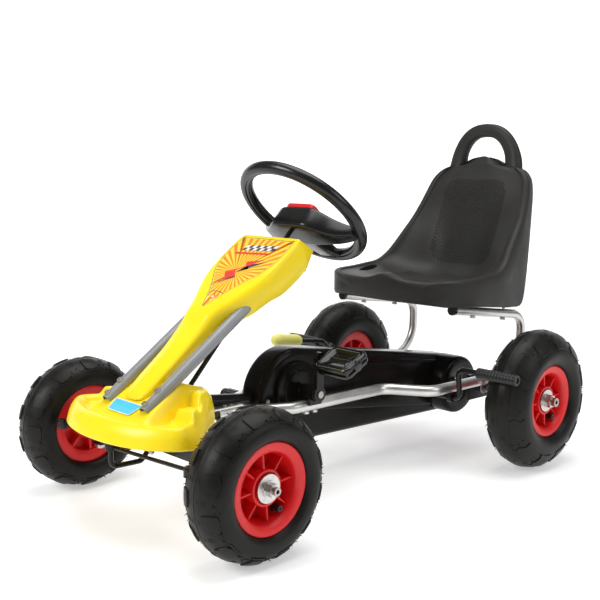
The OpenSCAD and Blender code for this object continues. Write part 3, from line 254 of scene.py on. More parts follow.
ringTree = copiesTree(
    "copiesInRing", {"Count": "Int", "Centre": "Vector"},
    {"points": ("GeometryNodePoints", {}), "index": ("GeometryNodeInputIndex", {}),
     "share": ("ShaderNodeMath", {"operation": "DIVIDE"}),
     "turn": ("ShaderNodeMath", {"operation": "MULTIPLY", 1: 2 * math.pi}),
     "spread": ("ShaderNodeCombineXYZ", {})},
    [("start", "Count", "points", "Count"), ("start", "Centre", "points", "Position"),
     ("points", 0, "copy", "Points"), ("start", "Geometry", "copy", "Instance"),
     ("index", 0, "share", 0), ("start", "Count", "share", 1), ("share", 0, "turn", 0),
     ("turn", 0, "spread", "X"), ("spread", 0, "copy", "Rotation")])
pointTree = copiesTree(
    "copiesOnPoints", {"Shape": "Object", "Size": "Float"},
    {"facing": ("GeometryNodeInputNamedAttribute", {"data_type": "FLOAT_VECTOR", "Name": "facing"}),
     "aim": ("FunctionNodeAlignRotationToVector", {"axis": "Z"}), "look": ("GeometryNodeObjectInfo", {})},
    [("start", "Geometry", "copy", "Points"), ("start", "Shape", "look", "Object"),
     ("look", "Geometry", "copy", "Instance"), ("facing", "Attribute", "aim", "Vector"),
     ("aim", 0, "copy", "Rotation"), ("start", "Size", "copy", "Scale")])


def grown(name, mesh, treeAndKeys, values):  # the mesh that a copying tree makes of this one
    piece = looseObject(name, mesh)
    step = piece.modifiers.new("copies", "NODES")
    step.node_group, keys = treeAndKeys
    for key, value in values.items():
        step[keys[key]] = value
    return taken(piece)


def ringOf(mesh, count, centre, finish):  # a sector made round the origin, repeated round an axle
    return grown("sector", mesh, ringTree, {"Count": count, "Centre": centre, "Finish": paint[finish]})


def copiesAt(places, mesh, size, finish):  # one shape set on (place, facing) pairs
    spots = bpy.data.meshes.new("spots")
    spots.from_pydata([tuple(p) for p, n in places], [], [])
    facing = spots.attributes.new("facing", "FLOAT_VECTOR", "POINT")
    facing.data.foreach_set("vector", [c for p, n in places for c in n])
    shape = looseObject("shape", mesh)
    copies = grown("spots", spots, pointTree, {"Shape": shape, "Size": size, "Finish": paint[finish]})
    bpy.data.objects.remove(shape)
    return copies


# camera, light and floor
cameraLook = {"place": (1.1629, -1.2117, 0.5346), "lens": 56.74,
              "azimuth": 45.42, "down": 7.52, "roll": 1.125}
studioLook = {
    "floor": (0.82, 0.82, 0.82), "world": 0.22, "glow": 0.42, "backGlow": 1.0, "glowFrom": 2.0, "glowTo": 5.5,
    "floorFront": 4.0, "floorBack": 4.2, "floorHalf": 7, "bend": 1.6, "wall": 4.0, "azimuth": 45,
    # lights: place, aim, size, watts
    "lights": [((0.1, 0.2, 2.8), (0, 0, 0.2), 2.2, 58), ((-0.6, -2.6, 1.9), (0, -0.3, 0.2), 1.2, 50),
               ((2.4, 0.9, 1.7), (0, 0, 0.3), 1.3, 14)]}


def placed(name, data, turn, place):
    piece = bpy.data.objects.new(name, data)
    turn = turn.to_4x4()
    turn.translation = place
    piece.matrix_world = turn
    scene.collection.objects.link(piece)
    return piece


def makeCamera(look):
    a, p, r = (math.radians(look[k]) for k in ("azimuth", "down", "roll"))
    forward = Vector((-math.sin(a) * math.cos(p), math.cos(a) * math.cos(p), -math.sin(p)))
    right = Vector((math.cos(a), math.sin(a), 0))
    up = right.cross(forward)
    right, up = math.cos(r) * right + math.sin(r) * up, math.cos(r) * up - math.sin(r) * right
    lens = bpy.data.cameras.new("camera")
    lens.lens, lens.sensor_width = look["lens"], 36
    scene.camera = placed("camera", lens, Matrix((right, up, -forward)).transposed(), look["place"])


def makeStudio(look):
    world = bpy.data.worlds.new("studio")
    world.use_nodes = True
    world.node_tree.nodes["Background"].inputs["Color"].default_value = (1, 1, 1, 1)
    world.node_tree.nodes["Background"].inputs["Strength"].default_value = look["world"]
    scene.world = world
    for place, target, size, power in look["lights"]:
        lamp = bpy.data.lights.new("softLight", "AREA")
        lamp.size, lamp.energy = size, power
        aim = (Vector(target) - Vector(place)).to_track_quat("-Z", "Y")
        placed("softLight", lamp, aim.to_matrix(), place)
    a = math.radians(look["azimuth"])
    back, side = Vector((-math.sin(a), math.cos(a), 0)), Vector((math.cos(a), math.sin(a), 0))
    line = [(-look["floorFront"], 0)] + [(look["floorBack"] * k / 8, 0) for k in range(9)]
    line += [(look["floorBack"] + look["bend"] * math.sin(t), look["bend"] * (1 - math.cos(t)))
             for t in (math.pi / 2 * k / 12 for k in range(1, 13))]
    line.append((line[-1][0], look["wall"]))
    bm = bmesh.new()
    edges = (-look["floorHalf"], look["floorHalf"])
    loft(bm, [[back * u + side * w + Vector((0, 0, z)) for w in edges] for u, z in line], closeRing=False)
    mesh = meshFrom(bm)
    low, high, start, end = (look[key] for key in ("glow", "backGlow", "glowFrom", "glowTo"))
    mesh.attributes.new("glow", "FLOAT", "POINT").data.foreach_set("value", [  # brighter towards the back
        low + (high - low) * smoothStep(start, end, v.co.dot(back) + v.co.z) for v in mesh.vertices])
    paper = newMaterial("floorPaper", {"colour": look["floor"], "rough": 0.9, "cloud": 3, "tone": 0.01,
                                       "bump": 0.01, "shine": 0.1})
    shader = paper.node_tree.nodes["Principled BSDF"]
    shader.inputs["Emission Color"].default_value = (1, 1, 1, 1)
    wire(paper.node_tree, {"glow": ("ShaderNodeAttribute", {"attribute_name": "glow"})},
         [("glow", "Fac", "shader", "Emission Strength")], {"shader": shader})
    floor = looseObject("floor", mesh)
    dress(floor, paper, 180)
    floor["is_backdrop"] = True


# materials
def newMaterial(name, look):
    material = bpy.data.materials.new(name)
    material.use_nodes = True
    tree, rough, tone = material.node_tree, look["rough"], look.get("tone", 0.06)
    shader = tree.nodes["Principled BSDF"]
    for key, value in (("Metallic", look.get("metal", 0)), ("Coat Weight", look.get("coat", 0)),
                       ("Coat Roughness", 0.12), ("Specular IOR Level", look.get("shine", 0.5))):
        shader.inputs[key].default_value = value
    span = {"From Min": 0.3, "From Max": 0.7}
    made = wire(tree, {
        "place": ("ShaderNodeTexCoord", {}),
        "cloud": ("ShaderNodeTexNoise", {"Scale": look.get("cloud", 24), "Detail": 5}),
        "grit": ("ShaderNodeTexNoise", {"Scale": look.get("grit", 1500), "Detail": 3}),
        "tone": ("ShaderNodeMapRange", {**span, "To Min": 1 - tone, "To Max": 1 + tone}),
        "gloss": ("ShaderNodeMapRange", {**span, "To Min": rough * 0.85, "To Max": rough * 1.15}),
        "colour": ("ShaderNodeHueSaturation", {"Color": (*look["colour"], 1)}),
        "bump": ("ShaderNodeBump", {
            "Strength": look.get("bump", 0.08), "Distance": look.get("depth", 0.0002)})
        }, [
        ("place", "Object", "cloud", "Vector"), ("place", "Object", "grit", "Vector"),
        ("cloud", "Fac", "tone", "Value"), ("tone", 0, "colour", "Value"),
        ("colour", 0, "shader", "Base Color"),
        ("cloud", "Fac", "gloss", "Value"), ("gloss", 0, "shader", "Roughness"),
        ("grit", "Fac", "bump", "Height"), ("bump", 0, "shader", "Normal")], {"shader": shader})
    if "colour2" in look:  # bare metal beyond a distance from the middle of the kart
        wire(tree, {
            "parts": ("ShaderNodeSeparateXYZ", {}), "size": ("ShaderNodeMath", {"operation": "ABSOLUTE"}),
            "past": ("ShaderNodeMath", {"operation": "GREATER_THAN", 1: look["past"]}),
            "blend": ("ShaderNodeMix", {"data_type": "RGBA", "B": (*look["colour2"], 1)})
            }, [
            ("place", "Object", "parts", 0), ("parts", "X", "size", 0), ("size", 0, "past", 0),
            ("past", 0, "blend", "Factor"), ("colour", 0, "blend", "A"), ("past", 0, "shader", "Metallic"),
            ("blend", "Result", "shader", "Base Color")], made)
    return material


finishes = {
    "black_steel": {"colour": (0.007, 0.007, 0.007), "rough": 0.26, "shine": 0.3, "bump": 0.1, "grit": 900},
    "silver_steel": {"colour": (0.66, 0.655, 0.63), "rough": 0.36, "metal": 1, "tone": 0.05, "cloud": 60},
    "grey_steel": {"colour": (0.30, 0.305, 0.315), "rough": 0.4, "metal": 0.35, "tone": 0.04},
    "zinc": {"colour": (0.60, 0.59, 0.57), "rough": 0.34, "metal": 1, "cloud": 140, "tone": 0.14,
             "bump": 0.12},
    "axle_steel": {"colour": (0.42, 0.40, 0.38), "rough": 0.36, "metal": 1, "cloud": 200, "tone": 0.15,
                   "bump": 0.15},
    "chain_steel": {"colour": (0.22, 0.21, 0.2), "rough": 0.42, "metal": 1, "cloud": 160, "tone": 0.2,
                    "bump": 0.2},
    "nylon": {"colour": (0.72, 0.70, 0.62), "rough": 0.5, "cloud": 60, "bump": 0.05},
    "yellow_plastic": {"colour": (0.98, 0.745, 0.011), "rough": 0.3, "tone": 0.02, "shine": 0.4, "bump": 0.03,
                       "cloud": 12},
    "red_plastic": {"colour": (0.72, 0.012, 0.014), "rough": 0.36, "tone": 0.05, "shine": 0.4, "bump": 0.05,
                    "cloud": 18},
    "black_plastic": {"colour": (0.005, 0.005, 0.005), "rough": 0.18, "shine": 0.55, "bump": 0.05},
    "seat_plastic": {"colour": (0.0255, 0.0247, 0.0225), "rough": 0.46, "shine": 0.22, "bump": 0.3,
                     "grit": 1300, "depth": 0.0003, "tone": 0.1},
    "cover_plastic": {"colour": (0.008, 0.0072, 0.0065), "rough": 0.2, "shine": 0.13, "bump": 0.1,
                      "tone": 0.1},
    "wheel_plastic": {"colour": (0.006, 0.006, 0.0055), "rough": 0.24, "shine": 0.42, "bump": 0.06,
                      "tone": 0.1},
    "grip_plastic": {"colour": (0.80, 0.76, 0.20), "rough": 0.4, "bump": 0.1, "tone": 0.05},
    "tyre_rubber": {"colour": (0.0085, 0.008, 0.007), "rough": 0.4, "shine": 0.2, "bump": 0.3, "grit": 1100,
                    "depth": 0.0003, "tone": 0.3, "cloud": 45},
    "tube_rubber": {"colour": (0.012, 0.012, 0.012), "rough": 0.45, "shine": 0.4, "bump": 0.2},
    "pad_rubber": {"colour": (0.009, 0.009, 0.009), "rough": 0.4, "shine": 0.4, "bump": 0.3},
    "knuckle": {"colour": (0.008, 0.008, 0.008), "rough": 0.3, "shine": 0.4, "colour2": (0.42, 0.40, 0.38),
                "past": 0.236, "bump": 0.1},
}
makeCamera(cameraLook)
makeStudio(studioLook)
paint = {name: newMaterial(name, look) for name, look in finishes.items()}
print("studio and materials made")


# tyres: every rubber block is a grid of (x, degrees) on the tread, with its height, spread and sunk foot
def roundPad(x, a, halfX, halfA, corner, steps):
    spots = [2 * i / steps - 1 for i in range(steps + 1)]
    return [[(x + halfX * u * math.sqrt(1 - corner * v * v), a + halfA * v * math.sqrt(1 - corner * u * u))
             for v in spots] for u in spots]


def band(edgeA, edgeB, steps=1):  # grid between two lines
    return [[(a[0] + (b[0] - a[0]) * k / steps, a[1] + (b[1] - a[1]) * k / steps)
             for a, b in zip(edgeA, edgeB)] for k in range(steps + 1)]


def flower(x, a, reach, petal, degreesPerMm):
    return [(roundPad(x + reach * c, a + reach * s * degreesPerMm, petal, petal * degreesPerMm, 0.5, 2),
             0.5, 0.1, 0.3) for c, s in circle(6)]


def crescent(x, a):
    outer, inner = ([(x + across * math.cos(t), a + high * math.sin(t)) for t in (-2.2, -1.2, 0, 1.2, 2.2)]
                    for across, high in ((2.6, 1.5), (1.9, 1.1)))
    return band(outer, inner)


tyreLooks = {
    "front": {
        "section": [(0, 109.4), (10, 108.3), (20, 105.2), (28, 100.6), (33, 96.6), (36.8, 91.5), (38.8, 86),
                    (39.3, 79), (38.2, 72.8), (35.2, 68.6), (31.6, 66.4)],
        "blocks": [(roundPad(23.5, 0, 10.6, 6.6, 0.22, 8), 2.3, 0.07, 0.8),
                   (roundPad(35.4, 0, 0.9, 8.2, 0.2, 4), 1.3, 0.06, 0.8),
                   *((roundPad(31.5, a, 1.8, 2.2, 0.2, 2), 0.8, 0.06, 0.8) for a in (-11.6, 11.6)),
                   *flower(16, 15, 2.9, 1.35, 0.55), *((crescent(6, a), 0.4, 0.1, 0.3) for a in (0, 15))],
        "nibs": [(28.5, 15, 5.5), (33, 8, 4), (30, -9, 4.5)], "steps": 96, "phase": 15},
    "rear": {
        "section": [(0, 129.2), (10, 128.0), (20, 123.8), (29, 116.6), (35, 108.6), (39.5, 100.5),
                    (42.0, 92), (42.4, 84), (40, 75), (36.5, 69.2), (31.6, 66.4)],
        "blocks": [(band([(22, -9), (29, -11), (33, -9.2), (36.5, -7.6), (40, -9.5)],
                         [(23, 8), (29, 9), (33, 10), (37, 11), (40, 9.5)], 6), 1.9, 0.05, 0.8),
                   (band([(13, -8), (17, -11), (21, -11)], [(13.9, -7.5), (17.9, -10.5), (21.9, -10.5)]),
                    0.5, 0.1, 0.3),
                   *flower(20, 14.4, 3.1, 1.4, 0.46), *flower(8, 6, 2.6, 1.1, 0.46)],
        "nibs": [(30, 15, 5.5), (35, 12, 4), (34, 2, 3.5)], "steps": 108, "phase": 19},
    "seat": (22.5, 58), "sectors": 12, "halfStep": 15, "nibWide": 0.7,
}


def treadSurface(section):  # gives points by distance from the middle, degrees round, height above the rubber
    line = curveThrough([(x, r, 0) for x, r in section], 6)

    def at(x, degrees, lift):
        k = next(i for i in range(1, len(line)) if line[i].x >= abs(x) or i == len(line) - 1)
        a, b = line[k - 1], line[k]
        way = (b - a).normalized()
        p = a.lerp(b, (abs(x) - a.x) / max(b.x - a.x, 1e-6)) + Vector((-way.y, way.x, 0)) * lift
        turn = math.radians(degrees)
        return millimetres(math.copysign(p.x, x), p.y * math.cos(turn), p.y * math.sin(turn))
    return at, line


def addBlock(bm, at, rows, lift, spread, sink):
    made = [[bm.verts.new(at(x, a, lift)) for x, a in row] for row in rows]
    for a, b in zip(made, made[1:]):
        for i in range(len(a) - 1):
            bm.faces.new((a[i], a[i + 1], b[i + 1], b[i]))
    edge, outline = (grid[0] + [row[-1] for row in grid[1:-1]] + grid[-1][::-1]
                     + [row[0] for row in grid[-2:0:-1]] for grid in (made, rows))
    cx, ca = (sum(p[k] for p in outline) / len(outline) for k in (0, 1))
    for grow, height in ((spread * 0.45, lift * 0.75), (spread, -sink)):
        lower = [bm.verts.new(at(cx + (x - cx) * (1 + grow), ca + (a - ca) * (1 + grow), height))
                 for x, a in outline]
        for i in range(len(edge)):
            j = (i + 1) % len(edge)
            bm.faces.new((edge[i], edge[j], lower[j], lower[i]))
        edge = lower
    bm.faces.new(edge)


def addNib(bm, at, x, a, tall, wide):  # the thin hair that a mould vent leaves
    foot = [bm.verts.new(at(x + u * wide, a + v * wide * 0.6, -0.3))
            for u, v in ((1, 1), (-1, 1), (-1, -1), (1, -1))]
    tip = bm.verts.new(at(x + tall * 0.3, a + tall * 0.2, tall))
    for k in range(4):
        bm.faces.new((foot[k], foot[(k + 1) % 4], tip))
    bm.faces.new(foot[::-1])


def tyreMesh(which, centre, side):
    look, (seatX, seatR) = tyreLooks[which], tyreLooks["seat"]
    at, line = treadSurface(look["section"])
    half = [(max(p.x, 0.5), p.y) for p in line]
    outline = [(-x, r) for x, r in half[::-1]] + [(0, half[0][1] + 0.5)] + half
    outline += [(seatX, half[-1][1]), (seatX, seatR), (-seatX, seatR), (-seatX, half[-1][1])]
    whole = solid(turned(outline, look["steps"]), wrap=True)
    whole.transform(Matrix.Translation(centre))
    bm = bmesh.new()
    for hand, shift in ((1, 0), (-1, tyreLooks["halfStep"])):
        for rows, lift, spread, sink in look["blocks"]:
            addBlock(bm, at, [[(hand * x, shift + a) for x, a in row] for row in rows], lift, spread, sink)
        for x, a, tall in look["nibs"]:
            addNib(bm, at, hand * x, shift + a, tall, tyreLooks["nibWide"])
    turn = Matrix.Rotation(math.radians(look["phase"]), 4, "X")
    bmesh.ops.transform(bm, verts=bm.verts, matrix=Matrix.Diagonal((side, 1, 1, 1)) @ turn)
    return joined(whole, ringOf(meshFrom(bm), tyreLooks["sectors"], centre, "tyre_rubber"))


def addWheels(kind, make, finish, sharp):  # the front ones on bodies of their own, the rear pair as one piece
    for name, side in sides:
        mesh = make("front", Vector((side * frontHub.x, *frontHub.yz)), side)
        addPiece("front" + kind + name, mesh, finish, "front_wheel_" + name.lower(),
                 "front_" + kind.lower() + "_" + name.lower(), sharp)
    pair = [make("rear", Vector((side * rearHub.x, *rearHub.yz)), side) for name, side in sides]
    addPiece("rear" + kind + "s", joined(*pair), finish, "rear_wheels", "rear_" + kind.lower() + "s", sharp)


addWheels("Tyre", tyreMesh, "tyre_rubber", 40)
print("tyres made")

# rims, front and rear alike
rimLook = {
    "barrel": [(30.4, 66.2), (31.8, 65.7), (32.4, 64.5), (32, 61), (30.8, 56), (29, 52.4), (27, 50.8),
               (22, 49.4), (8, 47.4), (-8, 46.8), (-20, 46.6), (-24, 47.5), (-26, 52), (-27, 60),
               (-27, 64.5), (-26.4, 66), (-23.6, 66), (-23.4, 60), (-23, 51), (-19, 50.4), (22, 50.9),
               (27, 53), (28.6, 60), (29, 66)],
    "boss": [(-20.5, 21), (-22, 22), (-22.6, 25), (-21.5, 26), (21.5, 26.4), (23.2, 25.8), (23.4, 23),
             (22.4, 22.2), (21.4, 21), (21.4, 14), (-20.5, 14)],
    "web": [(-4.6, 25), (-1.6, 25), (-1.6, 48.5), (-4.6, 48.5)],
    "bladeRings": (25.5, 37.15, 48.8), "bladeHalf": 20.5, "bladeThick": 1.5,
    "phase": 6, "count": 8, "steps": 96}


def rimMesh(which, centre, side):
    look = rimLook
    parts = [solid(turned(look[part], look["steps"]), wrap=True) for part in ("barrel", "boss", "web")]
    for part in parts:
        part.transform(Matrix.Translation(centre) @ Matrix.Diagonal((side, 1, 1, 1)))
    half, thick = look["bladeHalf"], look["bladeThick"]
    section = ((half, -thick * 0.5), (half, thick * 0.5), (half - 1, thick),
               (-half, thick * 1.3), (-half, -thick * 1.3), (half - 1, -thick))
    blade = solid([[millimetres(x * side, r, z) for x, z in section] for r in look["bladeRings"]])
    blade.transform(Matrix.Rotation(math.radians(look["phase"]), 4, "X"))
    return joined(*parts, ringOf(blade, look["count"], centre, "red_plastic"))


addWheels("Rim", rimMesh, "red_plastic", 30)
print("rims made")

# seat: inner middle (y, z), rim crest (x, y, z), lower outside edge (x, y, z), back of the middle (y, z)
seatLook = {
    "stations": [
        ((-167.5, 327), (92, -166, 329), (90, -166.5, 319), (-167, 317)),
        ((-166, 336), (116, -163, 339), (114, -163.5, 310), (-165.5, 306)),
        ((-162, 341), (134, -156, 345), (132, -156, 305), (-159, 301)),
        ((-150, 341), (147, -143, 348.5), (145, -142, 303.5), (-143, 300)),
        ((-130, 339), (156, -121, 350.5), (154, -119, 302.5), (-118, 299)),
        ((-95, 336), (160, -83, 352), (159, -87, 302), (-86, 298)),
        ((-45, 333), (160, -43, 356), (157, -41, 298), (-31, 296)),
        ((8, 331), (159, -6, 361), (153, 8, 293), (28, 290)),
        ((50, 338), (155, 18, 374), (147, 58, 288), (78, 286)),
        ((75, 360), (150, 35, 391), (141, 100, 291), (104, 289)),
        ((89, 400), (144, 62, 422), (138, 116, 338), (121, 330)),
        ((102, 440), (139, 88, 452), (132, 132, 412), (134, 392)),
        ((114, 480), (133, 107, 482), (127, 143, 470), (143, 450)),
        ((123, 518), (127, 121, 510), (122, 152, 503), (151, 500)),
        ((130, 543), (119, 132, 535), (116, 156, 533), (156, 534)),
        ((134, 556), (104, 139, 552), (102, 158, 551), (159, 552)),
        ((137, 563), (82, 143, 561), (80, 159, 560), (160, 562)),
        ((140, 568), (56, 146, 566), (54, 159, 565.5), (160, 568)),
        ((144, 574), (42, 148, 571.5), (41, 159, 571), (160, 573)),
        ((147, 579), (30, 150, 576.5), (29, 158.5, 576), (159.5, 578)),
        ((150, 581.5), (14, 152, 580), (13, 157.5, 579.5), (158, 580.5))],
    "hump": [(-170, 0), (-164, 11), (-150, 14), (-120, 8), (-90, 0)], "humpWidth": 30, "rim": 16, "steps": 4,
    "slot": {"x": 128, "y": -60, "floor": 344, "length": 68, "width": 19, "turn": 12, "over": 40, "depth": 9},
    "backPanel": {"half": 75, "low": 362, "high": 535, "corner": 30},
    "panPanel": {"half": 86, "low": -88, "high": 30, "corner": 20}, "pitch": 6.2, "dot": 1.9,
    # loop handle: its middle's y, and its outer and inner line (x, z)
    "handleY": 158.5,
    "outer": [(90, 515), (89, 540), (86, 567), (79, 593), (65, 618), (45, 637), (23, 646.5), (0, 649)],
    "inner": [(56, 515), (53, 540), (51, 564), (48, 583), (41, 599), (31, 611), (17, 619), (0, 621)]}


def seatRing(row, before, after, humpAt):
    (cy, cz), crest, low, (dy, dz) = row
    way = Vector((after[0][0] - before[0][0], after[0][1] - before[0][1])).normalized()
    lean = Vector((after[1][1] - before[1][1], after[1][2] - before[1][2])).normalized()
    up, rimUp = Vector((0, -way.y, way.x)), Vector((0, -lean.y, lean.x))
    crest, low, under, ex = Vector(crest), Vector(low), Vector((0, dy, dz)), crest[0]
    rim = seatLook["rim"] * min(1, ex / 110)
    foot = Vector((0, crest.y, crest.z)) - rimUp * 4
    points = []
    for t in (0, 0.1, 0.2, 0.3, 0.42, 0.54, 0.65, 0.75, 0.84, 0.92):
        x = t * (ex - rim)
        p = Vector((0, cy, cz)).lerp(foot, smoothStep(0.35, 1.08, t) * 0.97)
        points.append(Vector((x, p.y, p.z)) + up * humpAt * math.exp(-(x / seatLook["humpWidth"]) ** 2))
    for x, high in ((ex - rim, -3.5), (ex - rim + 1.5, -0.8), (ex - rim * 0.62, 0.6), (ex - rim * 0.28, -0.6),
                    (ex - rim * 0.06, -3.2)):
        points.append(Vector((x, crest.y, crest.z)) + rimUp * high)
    points += [(crest - rimUp * 7).lerp(low, t) for t in (0, 0.3, 0.6, 0.86)]
    points.append(low + Vector((-1.5, 0, 0)) - rimUp * 1.5)
    corner = low - Vector((5, 0, 0))
    points += [corner.lerp(under, t) - rimUp * 3.2 * (1 - t) for t in (0, 0.2, 0.45, 0.72, 1)]
    return bothHalves(points)


def makeSeat(look):
    rows = look["stations"]
    rings = []
    for i, row in enumerate(rows):
        before, after = (rows[2], rows[3]) if i < 2 else (rows[i - 1], rows[min(i + 1, len(rows) - 1)])
        rings.append(seatRing(row, before, after, along(look["hump"], row[0][0])))
    seat = solid([[fromRear(*p) for p in ring] for ring in throughRings(rings, look["steps"])])
    slot = look["slot"]
    for name, side in sides:
        turn = Matrix.Rotation(math.radians(-side * slot["turn"]), 3, "Z")
        middle = Vector((side * slot["x"], slot["y"], slot["floor"]))
        line = [(slot["width"] / 2 * c, slot["length"] / 2 * s * (1 - 0.12 * c ** 2)) for c, s in circle(32)]
        seat = cutOut(seat, solid([[fromRear(*(middle + turn @ Vector((x, y, z)))) for x, y in line]
                                   for z in (slot["over"], -slot["depth"])]))
    return seat


def makeHandle(look):  # the loop on top of the seat back
    rings = []
    squash = lambda value: math.copysign(abs(value) ** 0.7, value)
    outer, inner = (curveThrough([(x, 0, z) for x, z in look[line]], 4) for line in ("outer", "inner"))
    for a, b in zip(outer, inner):
        middle, half = (a + b) / 2, (a - b) / 2
        deep = 11 + 2.5 * smoothStep(600, 560, middle.z)
        middle.y = look["handleY"] - 9 * smoothStep(575, 520, middle.z)
        rings.append([middle + half * squash(c) + Vector((0, deep * squash(s), 0))
                      for c, s in circle(20, 0.5)])
    rings += [[Vector((-p.x, p.y, p.z)) for p in ring] for ring in rings[-2::-1]]
    return solid([[fromRear(*p) for p in ring] for ring in rings])


def dotPlaces(tree, panel, pitch, start, way):  # places on the seat under a field of raised dots
    spots = []
    half, low, high, corner = (panel[key] for key in ("half", "low", "high", "corner"))
    for j in range(int((high - low) / (pitch / 2)) + 1):
        v = low + j * pitch / 2
        for i in range(-int(half / pitch) - 1, int(half / pitch) + 2):
            u = (i + 0.5 * (j % 2)) * pitch
            du = max(abs(u) - half + corner, 0)
            dv = max(abs(v - (low + high) / 2) - (high - low) / 2 + corner, 0)
            place, normal, face, distance = tree.ray_cast(start(u, v), way)
            if math.hypot(du, dv) <= corner and place is not None:
                spots.append((place, normal if normal.dot(way) < 0 else -normal))
    return spots


shell = makeSeat(seatLook)
tree = BVHTree.FromPolygons([v.co for v in shell.vertices], [list(p.vertices) for p in shell.polygons])
back, pan, pitch = (seatLook[key] for key in ("backPanel", "panPanel", "pitch"))
dots = dotPlaces(tree, back, pitch, lambda u, v: fromRear(u, 0, v), Vector((0, 1, 0)))
dots += dotPlaces(tree, pan, pitch, lambda u, v: fromRear(u, v, 450), Vector((0, 0, -1)))
dot = solid([[Vector((r * c, r * s, z)) for c, s in circle(6)]
             for r, z in ((1, -0.3), (0.8, 0.45), (0.3, 0.85))])
dots = copiesAt(dots, dot, seatLook["dot"] * mm, "seat_plastic")
addPiece("seatShell", joined(shell, makeHandle(seatLook), dots), "seat_plastic", "frame", "seat", 40)
print("seat made")


# nose: a rolled lip round a shallow tray, with the ramp block and two pods rising from it
noseLook = {
    "bottom": [(0, -123.5), (40, -121), (80, -111), (115, -93), (138, -70), (148, -48), (145, -32),
               (132, -17), (112, 3), (96, 20), (80, 40), (64, 58), (44, 69), (0, 71)],
    "ridge": [(0, -112.5), (40, -110), (76, -101), (105, -87), (124, -73), (134, -60), (131, -44), (120, -24),
              (105, -6), (90, 13), (77, 34), (61, 54), (42, 65), (0, 67)],
    "bottomZ": 149, "trayZ": 167, "lip": 15, "drop": 3.4, "middleY": -15, "wall": 2.5,
    "ridgeZ": [(-115, 180.5), (-60, 181), (-14, 180), (0, 184), (14, 195), (26, 201), (40, 201), (54, 194),
               (75, 182)],
    "block": [(-90, 168), (-86, 172), (-52, 193.5), (-5, 220.5), (8, 221), (34, 212), (51, 206), (57, 200),
              (66, 188), (71, 172)],
    "blockHalf": [(-90, 72), (-60, 68), (-5, 58), (71, 52)], "blockSide": (14, 5),
    # raised pads over the steering knuckles: middle x, y, half width, half length, top, softness of the wall
    "pods": [(101, -13, 27, 17, 193, 7), (65, 31, 24, 22, 209, 9)], "blend": 3.6,
    "rings": 60, "lipRings": 12, "lipStep": 2, "sectors": 168}


def noseHeight(look, x, y, inward):
    ridge, tray, drop = along(look["ridgeZ"], y), look["trayZ"], look["drop"]
    t, x = inward / look["lip"], abs(x)
    if t < 1:
        lip = ridge - drop * (2 * t - 1) ** 2
    else:
        lip = tray + (ridge - drop - tray) * (1 - smoothStep(1, 1.5, t))
    half, (reach, back) = along(look["blockHalf"], y), look["blockSide"]
    heights = [lip, tray + (along(look["block"], y) - tray) * smoothStep(half + reach, half - back, x)]
    for px, py, halfX, halfY, top, soft in look["pods"]:
        inside = smoothStep(halfX + soft, halfX - soft, abs(x - px))
        inside *= smoothStep(halfY + soft, halfY - soft, abs(y - py)) * smoothStep(-14, 9, inward)
        heights.append(tray - 6 + (top - tray + 6) * inside)
    k = look["blend"]
    return k * math.log(sum(math.exp((h - tray) / k) for h in heights)) + tray


def evenly(points, count):  # the same closed line with its points spaced evenly
    ends = points + [points[0]]
    runs = [0.0]
    for a, b in zip(ends, ends[1:]):
        runs.append(runs[-1] + (b - a).length)
    out, k = [], 0
    for i in range(count):
        s = runs[-1] * i / count
        while runs[k + 1] < s:
            k += 1
        out.append(ends[k].lerp(ends[k + 1], (s - runs[k]) / max(runs[k + 1] - runs[k], 1e-9)))
    return out


def makeNose(look):
    low, ridge = (evenly(curveThrough(bothHalves([Vector((x, y, 0)) for x, y in look[k]]), 8, closed=True),
                         look["sectors"]) for k in ("bottom", "ridge"))
    centre, foot = Vector((0, look["middleY"], 0)), look["bottomZ"]
    rings = [[(*p.lerp(centre, inset).xy, foot + up) for p in low]
             for inset, up in ((0.05, 1.5), (0.018, 0), (0, 2.5))]
    for t, out in ((0.35, 1.5), (0.6, 2.2), (0.8, 1.6), (0.92, 0.6)):
        ring = []
        for a, b in zip(low, ridge):
            p = a.lerp(b, t)
            p += (p - centre).normalized() * out
            ring.append((p.x, p.y, foot + 2.5 + (along(look["ridgeZ"], b.y) - 5.5 - foot) * t))
        rings.append(ring)
    first, step = look["lipRings"], look["lipStep"]
    for i in range(look["rings"]):
        ring = []
        for p in ridge:
            rest = (p - centre).length - first * step - 0.6
            share = (i - first) / (look["rings"] - 1 - first)
            inward = step * i if i < first else first * step + rest * share
            q = p + (centre - p).normalized() * inward
            ring.append((q.x, q.y, noseHeight(look, q.x, q.y, inward)))
        rings.append(ring)
    bm = bmesh.new()
    loft(bm, [[fromFront(*p) for p in ring] for ring in rings], capEnd=True)
    return walled(meshFrom(bm), look["wall"])


addPiece("noseShell", makeNose(noseLook), "yellow_plastic", "frame", "nose_fairing", 50)
print("nose made")

